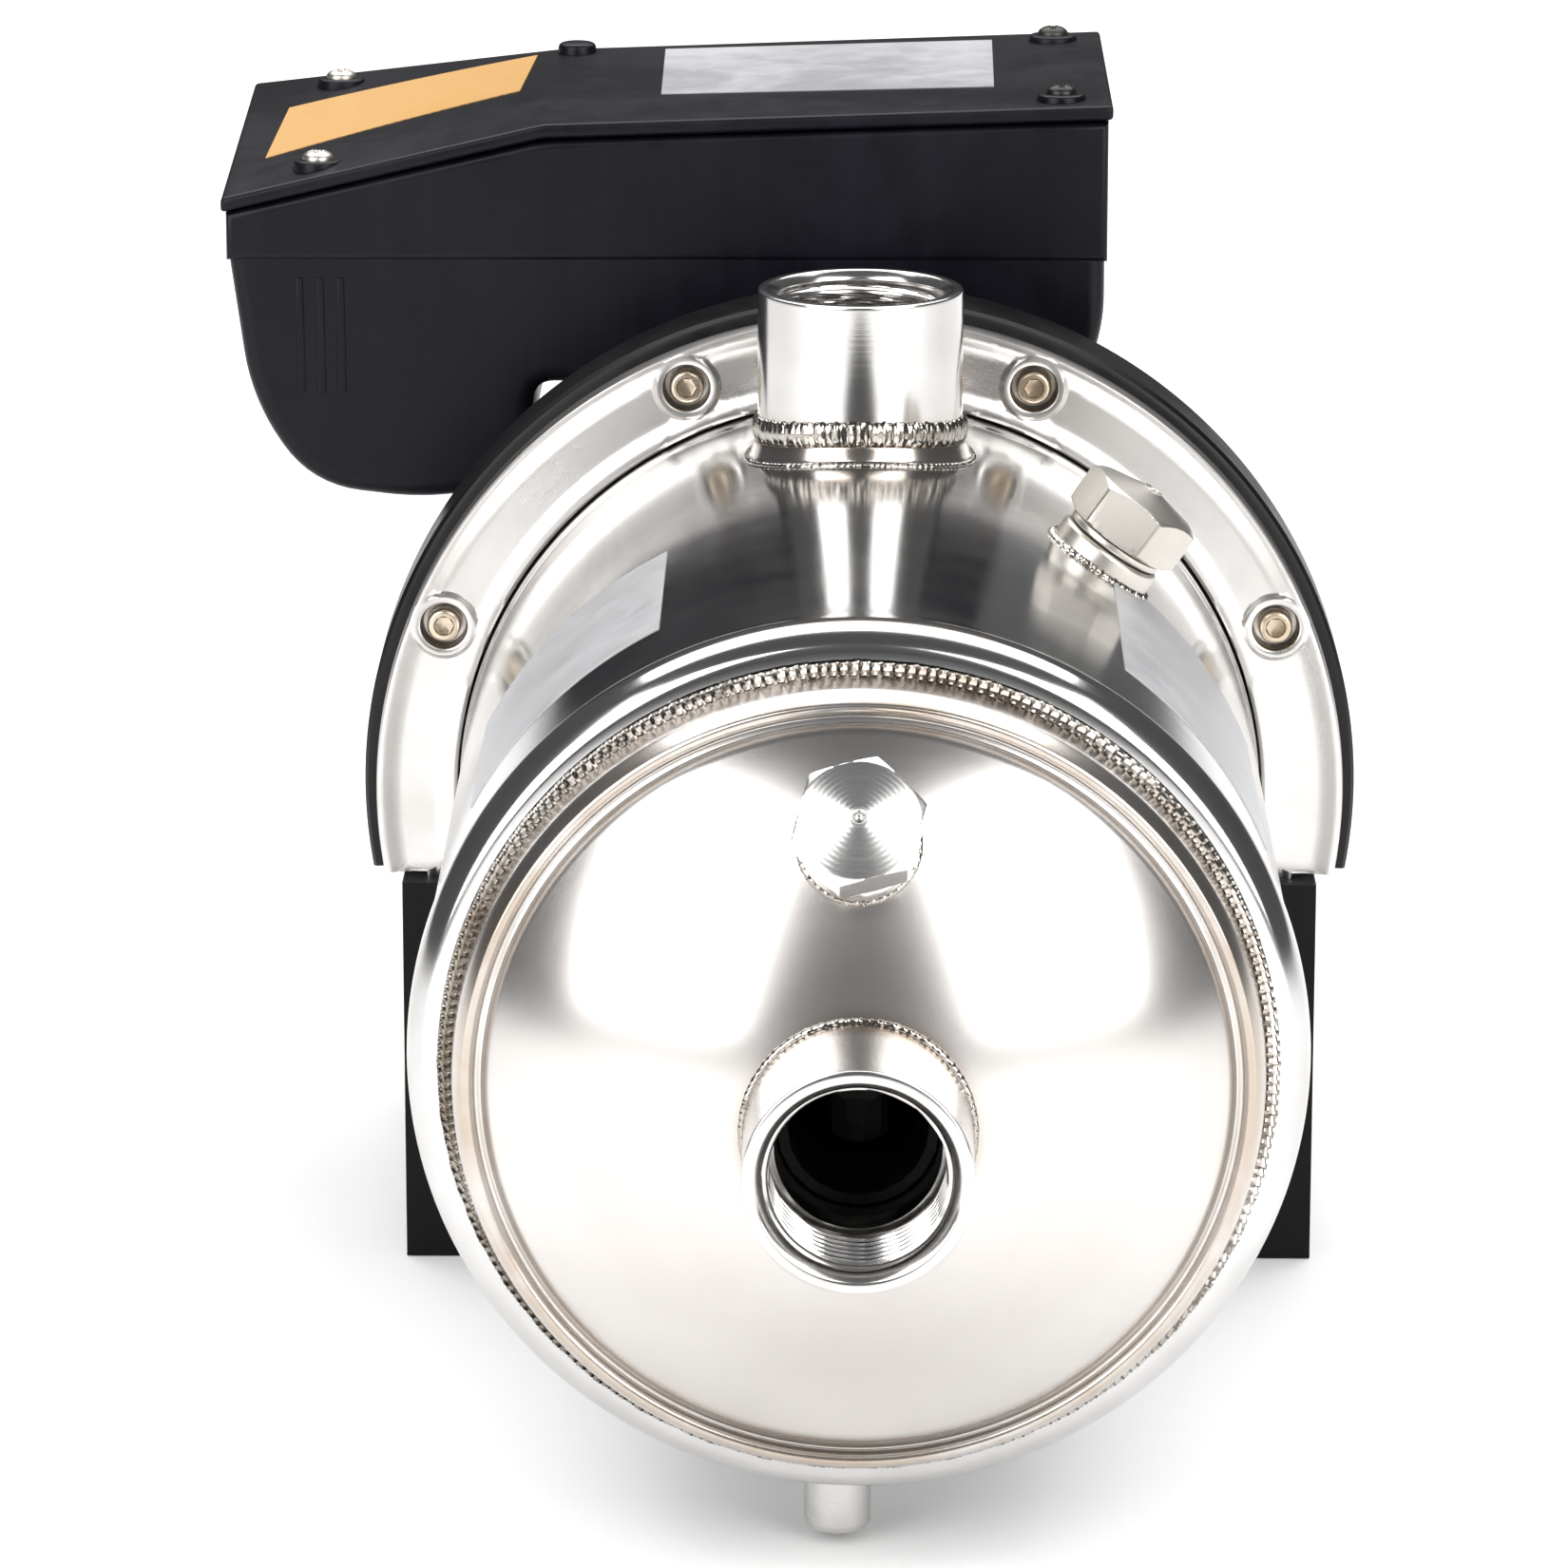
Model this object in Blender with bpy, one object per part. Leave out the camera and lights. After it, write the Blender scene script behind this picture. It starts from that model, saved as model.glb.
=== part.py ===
"""Shallow well jet pump: stainless casing, ejector, impeller, motor, terminal box and stand.

Metres, +Z up. X is across the pump, the suction mouth faces -Y and the motor lies towards +Y.
The origin is on the underside of the stand, below the pump's axis and midway along the stand.
Along the pump's axis, stations ("a") count from the front face of the clamp ring, rearwards.
"""

import math

import bmesh
import bpy
import numpy as np
from mathutils import Matrix, Vector

GAP = 0.0003  # kept between touching pieces
TURN = 2.0 * math.pi
ROUND = 36  # facets round the large shells
FINE = 20  # facets round ports, bosses and bearings
SMALL = 10  # facets round screws

# Casing
BARREL_RADIUS = 0.080
BARREL_LENGTH = 0.1825
BARREL_WALL = 0.0015
BARREL_LIP = BARREL_RADIUS + 0.0062
BEAD_RADIUS = BARREL_RADIUS + 0.0012
BEAD_INNER = BEAD_RADIUS - 0.0060
BEAD_DEPTH = 0.006
CAP_RIM_RADIUS = BEAD_INNER - 0.0032
CAP_EDGE_RADIUS = CAP_RIM_RADIUS - 0.0047
CAP_EDGE_STAND = 0.018
CAP_EDGE_BAND = 0.003
CAP_SPHERE = 0.095
CAP_WALL = 0.0015

# Stand
STAND_HEIGHT = 0.017  # from the ground to the underside of the barrel
STAND_MARGIN = 0.0125  # the stand's sides, beyond the barrel's
STAND_LENGTH = 0.132
STAND_WALL = 0.0045
STAND_FLOOR = 0.005
STAND_PLATE_TOP = -0.0176  # top of the front plate, from the axis
STAND_REAR_TOP = -0.062
STAND_REAR_SHARE = 0.45  # where the side wall comes down to its low part
SLOT_WIDTH = 0.009
SLOT_LENGTH = 0.016
SLOT_INSET_X = 0.0175
SLOT_INSET_Y = 0.021
AXIS_HEIGHT = BARREL_RADIUS + STAND_HEIGHT
STAND_WIDTH = 2 * (BARREL_RADIUS + STAND_MARGIN)
SLOT_SPACING_X = STAND_WIDTH - 2 * SLOT_INSET_X
SLOT_SPACING_Y = STAND_LENGTH - 2 * SLOT_INSET_Y

# Clamp joint
RING_THICKNESS = 0.006
RING_BORE_GAP = 0.0012
BOLT_CIRCLE = BARREL_LIP + 0.0044
RING_RADIUS = BOLT_CIRCLE + 0.0072
BOLT_COUNT = 8
BOLT_SHANK = 0.0020
BOLT_HOLE = BOLT_SHANK + GAP
BOLT_HEAD = 0.0034
BOLT_SOCKET = 0.0032
BOLT_HEAD_HEIGHT = 0.004
BOLT_SINK = 0.0045
BOLT_POCKET = BOLT_HEAD + 0.0012
BOLT_BITE = 0.008
SOCKET_DEPTH = 0.002
FLANGE_PLAY = 0.0002  # between the flanges' cut sides and the stand
LOWER_HALF_WIDTH = STAND_WIDTH / 2 - STAND_WALL - FLANGE_PLAY
LOWER_FLAT = STAND_FLOOR + 4 * FLANGE_PLAY - AXIS_HEIGHT

# Ports
PORT_RADIUS = 0.020
PORT_BORE = PORT_RADIUS - 0.00337
PORT_CHAMFER = 0.0014
PORT_INSIDE = 0.004  # how far a socket stands inside the shell
SUCTION_REACH = 0.0725
DISCHARGE_STATION = -0.032
DISCHARGE_REACH = 0.1107
THREAD_DEPTH = 0.020
PORT_SEAT_BORE = PORT_BORE - 0.00213

# Plugs
PLUG_HEX = 0.021
PLUG_HEX_HEIGHT = 0.009
PLUG_STEM = 0.0065
PLUG_STEM_LENGTH = 0.010
PLUG_LEAD = 0.001
PLUG_FACE = 0.98 * PLUG_HEX / 2
PLUG_CROWN = 0.0022
PLUG_DIMPLE = 0.0016
BOSS_RADIUS = 0.0105
BOSS_HEIGHT = 0.004
BOSS_SUNK = 0.003
WASHER_THICKNESS = 0.0015
WASHER_RADIUS = BOSS_RADIUS - 0.0007
FRONT_PLUG_SPIN = 15.0
FRONT_PLUG_RADIUS = CAP_EDGE_RADIUS - 0.018371
PRIMING_PLUG_ANGLE = 35.0
PRIMING_PLUG_STATION = -0.0725
DRAIN_RADIUS = 0.0061
DRAIN_X = -0.0037
DRAIN_FROM_BEAD = 0.010
DRAIN_CLEARANCE = 0.0022
DRAIN_BORE = 0.0042
DRAIN_STEM_LENGTH = 0.007
DRAIN_CHAMFER = 0.001
DRAIN_PLUG_SUNK = 0.0008
DRAIN_SOCKET = 0.004
DRAIN_SOCKET_DEPTH = 0.0035
DRAIN_SEAL = 0.0015

# Wet end
ORING_WIRE = 0.0013
ORING_SEAT = 0.002  # from the barrel's outside to the ring's centre
SEAL_PLATE = 0.002
SEAL_PLATE_BORE = 0.0135
GUIDE_RADIUS = BARREL_RADIUS - BARREL_WALL - 0.0065
GUIDE_WALL = 0.003
IMPELLER_RADIUS = GUIDE_RADIUS - 0.016
IMPELLER_PLAY = 0.003
IMPELLER_MOUTH = 0.002
IMPELLER_DISC = 0.0025
VANE_HEIGHT = 0.006
VANE_COUNT = 6
VANE_WIDTH = 0.0025
VANE_SWEEP = 1.1
VANE_ROOT = 0.001
NUT_HEX = 0.013
NUT_HEIGHT = 0.006
SEAL_MEET = 0.004  # where the seal's faces meet, ahead of the seal plate
HUB_RADIUS = 0.011
IMPELLER_STATION = -0.004  # rear face of the impeller's disc
EYE_RADIUS = 0.018
EJECTOR_RADIUS = 0.0195
EJECTOR_WALL = 0.003
THROAT_BORE = 0.0065
THROAT_RADIUS = THROAT_BORE + 0.004
THROAT_LENGTH = 0.030
EJECTOR_SETBACK = 0.012
EJECTOR_SLIM = 0.024
EJECTOR_FLARE = 0.004
EJECTOR_TAPER = 0.014
CHAMBER_LENGTH = 0.070
NOZZLE_RADIUS = 0.0085
NOZZLE_TIP = 0.0048
NOZZLE_BORE = 0.003
NOZZLE_LENGTH = 0.030
NOZZLE_SHOULDER = 0.014
STUB_RADIUS = 0.0055
STUB_BORE = 0.0035
STUB_REACH = 0.004

# Shaft, bearings and motor
SHAFT_THREAD = 0.004
SHAFT_WET = 0.006
SHAFT_BEARING = 0.0085
SHAFT_ROTOR = 0.010
BEARING_RADIUS = 0.020
BEARING_WIDTH = 0.012
HOUSING_WALL = 0.004
BRACKET_RADIUS = RING_RADIUS + 0.0027
BRACKET_RIM = 0.018
BRACKET_WALL = 0.006
FRONT_BEARING_STATION = 0.030
FRAME_RADIUS = 0.064
FRAME_WALL = 0.0035
FRAME_LENGTH = 0.094
FIN_HEIGHT = 0.0045
FIN_COUNT = 28
PAD_HALF_WIDTH = 0.034
STATOR_LENGTH = 0.056
STATOR_BORE = 0.0326
AIR_GAP = 0.0006
COIL_LENGTH = 0.012
COIL_WIDTH = 0.018
SHIELD_THICKNESS = 0.006
COVER_RADIUS = FRAME_RADIUS + FIN_HEIGHT + 0.002
COVER_WALL = 0.0015
FAN_RADIUS = COVER_RADIUS - 0.0165
FAN_WIDTH = 0.014
FAN_BLADES = 7
FAN_BLADE_HALF = 0.0014
FAN_HUB = 0.017
COVER_SCREW = 0.0015
COVER_SCREW_BITE = 0.006
COVER_SLOTS = 12
COVER_SLOT_INNER = 0.024
COVER_SLOT_OUTER = COVER_RADIUS - 0.0145
COVER_SLOT_HALF = 0.0024
COVER_EDGE = 0.006

# Terminal box, from the pump's axis
BOX_STATION = 0.0455
BOX_DEPTH = 0.0915
BOX_WALL = 0.0028
BOX_LEFT = -0.1295
BOX_RIGHT = 0.050
BOX_FLOOR = FRAME_RADIUS + 0.0110
BOX_PART_LINE = BOX_FLOOR + 0.0256
BULGE_BOTTOM = BOX_FLOOR - 0.0250
BULGE_CENTRE = -0.0965
LID_LEFT_FRONT = BOX_PART_LINE + 0.0134
LID_LEFT_REAR = BOX_PART_LINE + 0.0209
LID_FOLD_X = -0.065
LID_FOLD = BOX_PART_LINE + 0.0284
LID_RIGHT = BOX_PART_LINE + 0.0324
LID_LIP = 0.0030
LID_OVERHANG = 0.0014
LID_SCREW_INSET = 0.0090
LID_SCREW_RADIUS = 0.0032
LID_SCREW_SHANK = 0.0015
LID_SCREW_LENGTH = 0.011
LID_SCREW_SEAT = 0.0018
POST_INSET = 0.001
POST_RADIUS = 0.0045
POST_DEPTH = 0.012
WEB_HALF = 0.0015
CAPACITOR_RADIUS = 0.016
CAPACITOR_LENGTH = 0.062
GLAND_RADIUS = 0.010
GLAND_NECK = 0.0072
GLAND_BORE = 0.0045
GLAND_X = 0.02
GLAND_REACH = 0.015
TERMINAL_HALF = (0.022, 0.009)
TERMINAL_HEIGHT = 0.014
TERMINAL_SETBACK = 0.045

STEEL = "stainless_steel"
BRUSHED = "brushed_stainless"
BLACK = "black_plastic"
RUBBER = "rubber"
CAST = "cast_aluminium"
IRON = "electrical_steel"
COPPER = "copper_winding"
ZINC = "zinc_screw"
BRASS = "brass"
CERAMIC = "seal_ceramic"
GREY = "grey_plastic"

FINISHES = {
    STEEL: ((0.72, 0.71, 0.70), 0.16, 1.0),
    BRUSHED: ((0.66, 0.65, 0.63), 0.32, 1.0),
    BLACK: ((0.012, 0.013, 0.018), 0.42, 0.0),
    RUBBER: ((0.02, 0.02, 0.02), 0.75, 0.0),
    CAST: ((0.06, 0.06, 0.065), 0.5, 0.4),
    IRON: ((0.25, 0.25, 0.26), 0.5, 0.9),
    COPPER: ((0.62, 0.26, 0.12), 0.4, 0.8),
    ZINC: ((0.70, 0.66, 0.58), 0.3, 1.0),
    BRASS: ((0.72, 0.54, 0.24), 0.3, 1.0),
    CERAMIC: ((0.85, 0.84, 0.80), 0.35, 0.0),
    GREY: ((0.5, 0.5, 0.5), 0.5, 0.0),
}

# Stations that follow from the sizes above
STAND_FRONT = -STAND_LENGTH / 2
FLANGE_Y = STAND_FRONT + STAND_WALL + GAP
BEAD_STATION = -BARREL_LENGTH
CAP_CENTRE = BEAD_STATION - CAP_EDGE_STAND + math.sqrt(CAP_SPHERE**2 - CAP_EDGE_RADIUS**2)
SUCTION_STATION = BEAD_STATION - SUCTION_REACH
LIP_STATION = RING_THICKNESS + GAP
ORING_STATION = LIP_STATION + BARREL_WALL + GAP + ORING_WIRE
SEAL_PLATE_STATION = ORING_STATION + ORING_WIRE + GAP
BRACKET_POCKET = SEAL_PLATE_STATION + SEAL_PLATE + GAP
BRACKET_FACE = RING_THICKNESS + GAP
BRACKET_REAR = FRONT_BEARING_STATION
FRAME_STATION = BRACKET_REAR + GAP
FRAME_END = FRAME_STATION + FRAME_LENGTH
STATOR_STATION = FRAME_STATION + (FRAME_LENGTH - STATOR_LENGTH) / 2
STATOR_RADIUS = FRAME_RADIUS - FRAME_WALL - GAP
SHIELD_STATION = FRAME_END + GAP
REAR_BEARING_STATION = SHIELD_STATION - BEARING_WIDTH / 2
FAN_STATION = SHIELD_STATION + 2 * SHIELD_THICKNESS + BEARING_WIDTH / 4
COVER_END = FAN_STATION + FAN_WIDTH + 0.008
SHAFT_END = FAN_STATION + FAN_WIDTH + 0.002


def clear_scene():
    """Remove whatever the file holds."""
    for item in list(bpy.data.objects):
        bpy.data.objects.remove(item, do_unlink=True)


def finish(name):
    """Principled material of one of the named finishes."""
    material = bpy.data.materials.get(name)
    if material is None:
        colour, roughness, metallic = FINISHES[name]
        material = bpy.data.materials.new(name)
        material.use_nodes = True
        shader = material.node_tree.nodes["Principled BSDF"]
        shader.inputs["Base Color"].default_value = (*colour, 1.0)
        shader.inputs["Roughness"].default_value = roughness
        shader.inputs["Metallic"].default_value = metallic
    return material


def solid(name, points, faces, material):
    """Object from points and faces, with its faces turned outwards."""
    mesh = bpy.data.meshes.new(name)
    mesh.from_pydata([tuple(p) for p in points], [], faces)
    work = bmesh.new()
    work.from_mesh(mesh)
    bmesh.ops.recalc_face_normals(work, faces=work.faces)
    if work.calc_volume(signed=True) < 0:
        bmesh.ops.reverse_faces(work, faces=work.faces)
    work.to_mesh(mesh)
    work.free()
    mesh.shade_smooth()
    mesh.set_sharp_from_angle(angle=math.radians(30))
    made = bpy.data.objects.new(name, mesh)
    bpy.context.scene.collection.objects.link(made)
    made.data.materials.append(finish(material))
    return made


def frame_on(origin, axis, side=(1.0, 0.0, 0.0)):
    """Matrix whose local Z is the axis, with local X as near the side as it can be."""
    w = Vector(axis).normalized()
    u = Vector(side) - Vector(side).dot(w) * w
    u.normalize()
    v = w.cross(u)
    rows = Matrix((u, v, w)).transposed().to_4x4()
    return Matrix.Translation(Vector(origin)) @ rows


def on_axis(station, x=0.0, z=0.0):
    """World point at a station along the pump, offset from the axis."""
    return Vector((x, FLANGE_Y + station, AXIS_HEIGHT + z))


def axial(station=0.0):
    """Frame whose local Z runs rearwards along the pump's axis."""
    return frame_on(on_axis(station), (0.0, 1.0, 0.0))


def turned(name, profile, place, segments, material):
    """Closed (height, radius) outline turned about local Z; radius 0 makes a pole."""
    points = []
    rings = []
    for height, radius in profile:
        if radius < 1e-7:
            rings.append([len(points)] * segments)
            points.append(Vector((0.0, 0.0, height)))
            continue
        rings.append(list(range(len(points), len(points) + segments)))
        for k in range(segments):
            angle = TURN * k / segments
            points.append(Vector((radius * math.cos(angle), radius * math.sin(angle), height)))
    faces = []
    count = len(profile)
    for i in range(count):
        low, high = rings[i], rings[(i + 1) % count]
        if low[0] == low[1] and high[0] == high[1]:
            continue
        for k in range(segments):
            n = (k + 1) % segments
            corners = [low[k], low[n], high[n], high[k]]
            kept = [c for j, c in enumerate(corners) if c != corners[j - 1]]
            if len(kept) > 2:
                faces.append(kept)
    made = solid(name, points, faces, material)
    made.data.transform(place)
    return made


def prism(name, outline, low, high, place, material):
    """Outline in local XY extruded along local Z from low to high."""
    count = len(outline)
    points = [Vector((x, y, low)) for x, y in outline] + [Vector((x, y, high)) for x, y in outline]
    faces = [list(range(count)), list(range(count, 2 * count))]
    faces += [[i, (i + 1) % count, count + (i + 1) % count, count + i] for i in range(count)]
    made = solid(name, points, faces, material)
    made.data.transform(place)
    return made


def loft(name, front, rear, low, high, place, material):
    """Two outlines joined into one solid, each side split along its shorter diagonal."""
    count = len(front)
    points = [Vector((x, y, low)) for x, y in front] + [Vector((x, y, high)) for x, y in rear]
    faces = [list(range(count)), list(range(count, 2 * count))]
    for i in range(count):
        n = (i + 1) % count
        rising = (points[i] - points[count + n]).length
        falling = (points[n] - points[count + i]).length
        if rising < falling:
            faces += [[i, n, count + n], [i, count + n, count + i]]
        else:
            faces += [[i, n, count + i], [n, count + n, count + i]]
    made = solid(name, points, faces, material)
    made.data.transform(place)
    return made


def circle(radius, count, x=0.0, y=0.0, start=0.0):
    """Points round a circle."""
    angles = [start + TURN * k / count for k in range(count)]
    return [(x + radius * math.cos(t), y + radius * math.sin(t)) for t in angles]


def hexagon(across_flats, start=0.0):
    """Corners of a hexagon of the given width across its flats."""
    return circle(across_flats / math.sqrt(3.0), 6, start=start)


def box_outline(x0, x1, y0, y1):
    """Corners of a rectangle."""
    return [(x0, y0), (x1, y0), (x1, y1), (x0, y1)]


def rounded(corners, radii, steps=4):
    """Polygon with each corner replaced by an arc of its own radius."""
    outline = []
    count = len(corners)
    for i, radius in enumerate(radii):
        here = Vector(corners[i])
        before = (Vector(corners[i - 1]) - here).normalized()
        after = (Vector(corners[(i + 1) % count]) - here).normalized()
        if radius <= 0.0:
            outline.append(tuple(here))
            continue
        half = math.acos(max(-1.0, min(1.0, before.dot(after)))) / 2
        middle = here + (before + after).normalized() * (radius / math.sin(half))
        start = here + before * (radius / math.tan(half)) - middle
        end = here + after * (radius / math.tan(half)) - middle
        sweep = start.angle_signed(end)
        for k in range(steps + 1):
            turn = -sweep * k / steps
            c, s = math.cos(turn), math.sin(turn)
            outline.append((middle.x + c * start.x - s * start.y, middle.y + s * start.x + c * start.y))
    return outline


def combine(target, tool, operation):
    """Apply a Boolean between two objects and remove the tool."""
    cut = target.modifiers.new(operation.title(), "BOOLEAN")
    cut.operation = operation
    cut.object = tool
    cut.solver = "EXACT"
    bpy.context.view_layer.update()
    evaluated = target.evaluated_get(bpy.context.evaluated_depsgraph_get())
    result = bpy.data.meshes.new_from_object(evaluated)
    target.modifiers.clear()
    old = target.data
    target.data = result
    bpy.data.meshes.remove(old)
    bpy.data.objects.remove(tool, do_unlink=True)
    target.data.shade_smooth()
    target.data.set_sharp_from_angle(angle=math.radians(30))


def drill(target, radius, start, end, segments=FINE):
    """Cut a round hole from one world point to another, its facets turned off the target's."""
    start = Vector(start)
    reach = Vector(end) - start
    tool = prism(
        "drill", circle(radius, segments, start=0.05), 0.0, reach.length, frame_on(start, reach), STEEL
    )
    combine(target, tool, "DIFFERENCE")


def flange_outline(radius, half_width, flat):
    """Round flange whose lower part is cut to a half width and a flat, to fit in the stand."""
    shoulder = STAND_PLATE_TOP + GAP
    start = math.asin(shoulder / radius)
    side = math.acos(half_width / radius)
    base = math.asin(-flat / radius)
    upper = [start + (math.pi - 2 * start) * k / ROUND for k in range(ROUND + 1)]
    left = [math.pi + side + (base - side) * k / 3 for k in range(4)]
    right = [3 * math.pi - t for t in left[::-1]]
    outline = [(radius * math.cos(t), radius * math.sin(t)) for t in upper]
    outline.append((-half_width, shoulder))
    outline += [(radius * math.cos(t), radius * math.sin(t)) for t in left + right]
    outline.append((half_width, shoulder))
    return [(x, -z) for x, z in outline]


def bolt_places():
    """(x, z, lower) of each flange screw, from the axis."""
    places = []
    for k in range(BOLT_COUNT):
        angle = TURN * (k + 0.5) / BOLT_COUNT
        x, z = BOLT_CIRCLE * math.sin(angle), BOLT_CIRCLE * math.cos(angle)
        places.append((x, z, z < STAND_PLATE_TOP))
    return places


def cap_station(radius, wall=0.0):
    """Station of the dished cap's outer face, or of a face inside it, at a radius."""
    return CAP_CENTRE - math.sqrt((CAP_SPHERE - wall) ** 2 - radius**2)


def make_barrel():
    """Rolled barrel with a bead at the front and a clamped lip at the rear."""
    outer = []
    steps = 3
    for k in range(steps + 1):
        turn = (math.pi / 2) * k / steps
        reach = BEAD_RADIUS - BEAD_INNER
        outer.append(
            (BEAD_STATION - BEAD_DEPTH * math.cos(turn), BEAD_INNER + reach * math.sin(turn))
        )
    inner = [
        (a + BARREL_WALL * math.cos(math.pi / 2 * k / steps), r - BARREL_WALL)
        for k, (a, r) in enumerate(outer)
    ]
    neck = BEAD_STATION + BEAD_DEPTH
    profile = outer + [
        (neck, BARREL_RADIUS),
        (LIP_STATION, BARREL_RADIUS),
        (LIP_STATION, BARREL_LIP),
        (LIP_STATION + BARREL_WALL, BARREL_LIP),
        (LIP_STATION + BARREL_WALL, BARREL_RADIUS - BARREL_WALL),
        (neck, BARREL_RADIUS - BARREL_WALL),
    ]
    profile += inner[::-1]
    barrel = turned("barrel_shell", profile, axial(), ROUND, STEEL)
    port = on_axis(DISCHARGE_STATION)
    drill(barrel, PORT_RADIUS + GAP, port, port + Vector((0, 0, DISCHARGE_REACH)))
    out = priming_axis()
    foot = on_axis(PRIMING_PLUG_STATION)
    drill(barrel, BOSS_RADIUS + GAP, foot, foot + out * DISCHARGE_REACH)
    top = drain_top()
    drill(barrel, DRAIN_RADIUS + GAP, top, top - Vector((0, 0, BARREL_RADIUS)))
    return barrel


def make_cap():
    """Dished front cap: rim, rounded step and a part of a sphere."""
    rim = BEAD_STATION - BEAD_DEPTH - GAP
    edge = BEAD_STATION - CAP_EDGE_STAND
    step = CAP_RIM_RADIUS - CAP_EDGE_RADIUS
    outer = [(rim, BEAD_INNER), (rim - 0.002, BEAD_INNER - 0.0008), (rim - 0.0035, CAP_RIM_RADIUS + 0.001)]
    crest = edge - 0.002
    for k in range(4):
        turn = math.pi / 2 * k / 3
        outer.append((crest + step * (1 - math.sin(turn)), CAP_EDGE_RADIUS + step * math.cos(turn)))
    outer.append((edge, CAP_EDGE_RADIUS - 0.0008))
    rings = 5
    first = CAP_EDGE_RADIUS - CAP_EDGE_BAND
    hole = PORT_RADIUS + GAP
    radii = [first + (hole - first) * k / rings for k in range(rings + 1)]
    outer += [(cap_station(r), r) for r in radii]
    inner = [(cap_station(r, CAP_WALL), r) for r in radii[::-2]] + [
        (cap_station(first, CAP_WALL), first)
    ]
    inner += [
        (edge + CAP_WALL, CAP_EDGE_RADIUS - 0.0008 - CAP_WALL),
        (crest + CAP_WALL, CAP_EDGE_RADIUS),
        (crest + step + CAP_WALL, CAP_RIM_RADIUS - CAP_WALL),
        (rim, BEAD_INNER - 2 * CAP_WALL),
    ]
    cap = turned("front_cap", outer + inner, axial(), ROUND, STEEL)
    centre = on_axis(CAP_CENTRE)
    drill(cap, BOSS_RADIUS + GAP, centre, centre + front_plug_axis() * (CAP_SPHERE + BOSS_HEIGHT))
    return cap


def port_profile(length):
    """Threaded socket from its root at 0 to its mouth at length."""
    seat = length - THREAD_DEPTH
    return [
        (0.0, PORT_RADIUS),
        (length - PORT_CHAMFER / 2, PORT_RADIUS),
        (length, PORT_RADIUS - PORT_CHAMFER / 2),
        (length, PORT_BORE + PORT_CHAMFER / 2),
        (length - PORT_CHAMFER, PORT_BORE),
        (seat, PORT_BORE),
        (seat, PORT_SEAT_BORE),
        (0.0, PORT_SEAT_BORE),
    ]


def make_ports():
    """Suction socket in the cap and discharge socket on the barrel."""
    root = cap_station(PORT_RADIUS) + CAP_WALL + PORT_INSIDE
    length = root - SUCTION_STATION
    forward = frame_on(on_axis(root), (0.0, -1.0, 0.0))
    turned("suction_port", port_profile(length), forward, FINE, BRUSHED)
    low = BARREL_RADIUS - BARREL_WALL - PORT_INSIDE - 0.001
    upward = frame_on(on_axis(DISCHARGE_STATION, z=low), (0.0, 0.0, 1.0))
    turned("discharge_port", port_profile(DISCHARGE_REACH - low), upward, FINE, BRUSHED)


def front_plug_axis():
    """Direction of the front plug, square to the dished cap."""
    tilt = math.asin(FRONT_PLUG_RADIUS / CAP_SPHERE)
    return Vector((0.0, -math.cos(tilt), math.sin(tilt)))


def priming_axis():
    """Direction of the priming plug, square to the barrel."""
    angle = math.radians(PRIMING_PLUG_ANGLE)
    return Vector((math.sin(angle), 0.0, math.cos(angle)))


def drain_top():
    """Point inside the barrel from which the drain runs down."""
    return on_axis(BEAD_STATION + DRAIN_FROM_BEAD + DRAIN_RADIUS, x=DRAIN_X, z=-BARREL_RADIUS / 2)


def make_plug(prefix, surface, axis, spin):
    """Boss, sealing washer and hexagon plug standing on a shell's surface."""
    bore = PLUG_STEM + GAP
    place = frame_on(surface, axis)
    boss = [
        (-BOSS_SUNK, BOSS_RADIUS),
        (BOSS_HEIGHT, BOSS_RADIUS),
        (BOSS_HEIGHT, bore),
        (-BOSS_SUNK, bore),
    ]
    turned(prefix + "_boss", boss, place, FINE, BRUSHED)
    seat = BOSS_HEIGHT + GAP
    washer = [
        (seat, bore),
        (seat, WASHER_RADIUS),
        (seat + WASHER_THICKNESS, WASHER_RADIUS),
        (seat + WASHER_THICKNESS, bore),
    ]
    turned(prefix + "_washer", washer, place, FINE, RUBBER)
    under = seat + WASHER_THICKNESS + GAP
    head = prism(
        prefix, hexagon(PLUG_HEX, spin), under, under + PLUG_HEX_HEIGHT, place, BRUSHED
    )
    top = under + PLUG_HEX_HEIGHT
    tip = under - PLUG_STEM_LENGTH
    crown = [
        (tip, 0.0),
        (tip, PLUG_STEM - PLUG_LEAD),
        (tip + PLUG_LEAD, PLUG_STEM),
        (under + PLUG_LEAD, PLUG_STEM),
        (top - PLUG_LEAD, PLUG_FACE),
        (top, PLUG_FACE),
        (top + PLUG_CROWN, PLUG_DIMPLE),
        (top + PLUG_CROWN - PLUG_LEAD, 0.0),
    ]
    combine(head, turned("crown", crown, place, FINE, BRUSHED), "UNION")
    return head


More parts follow.
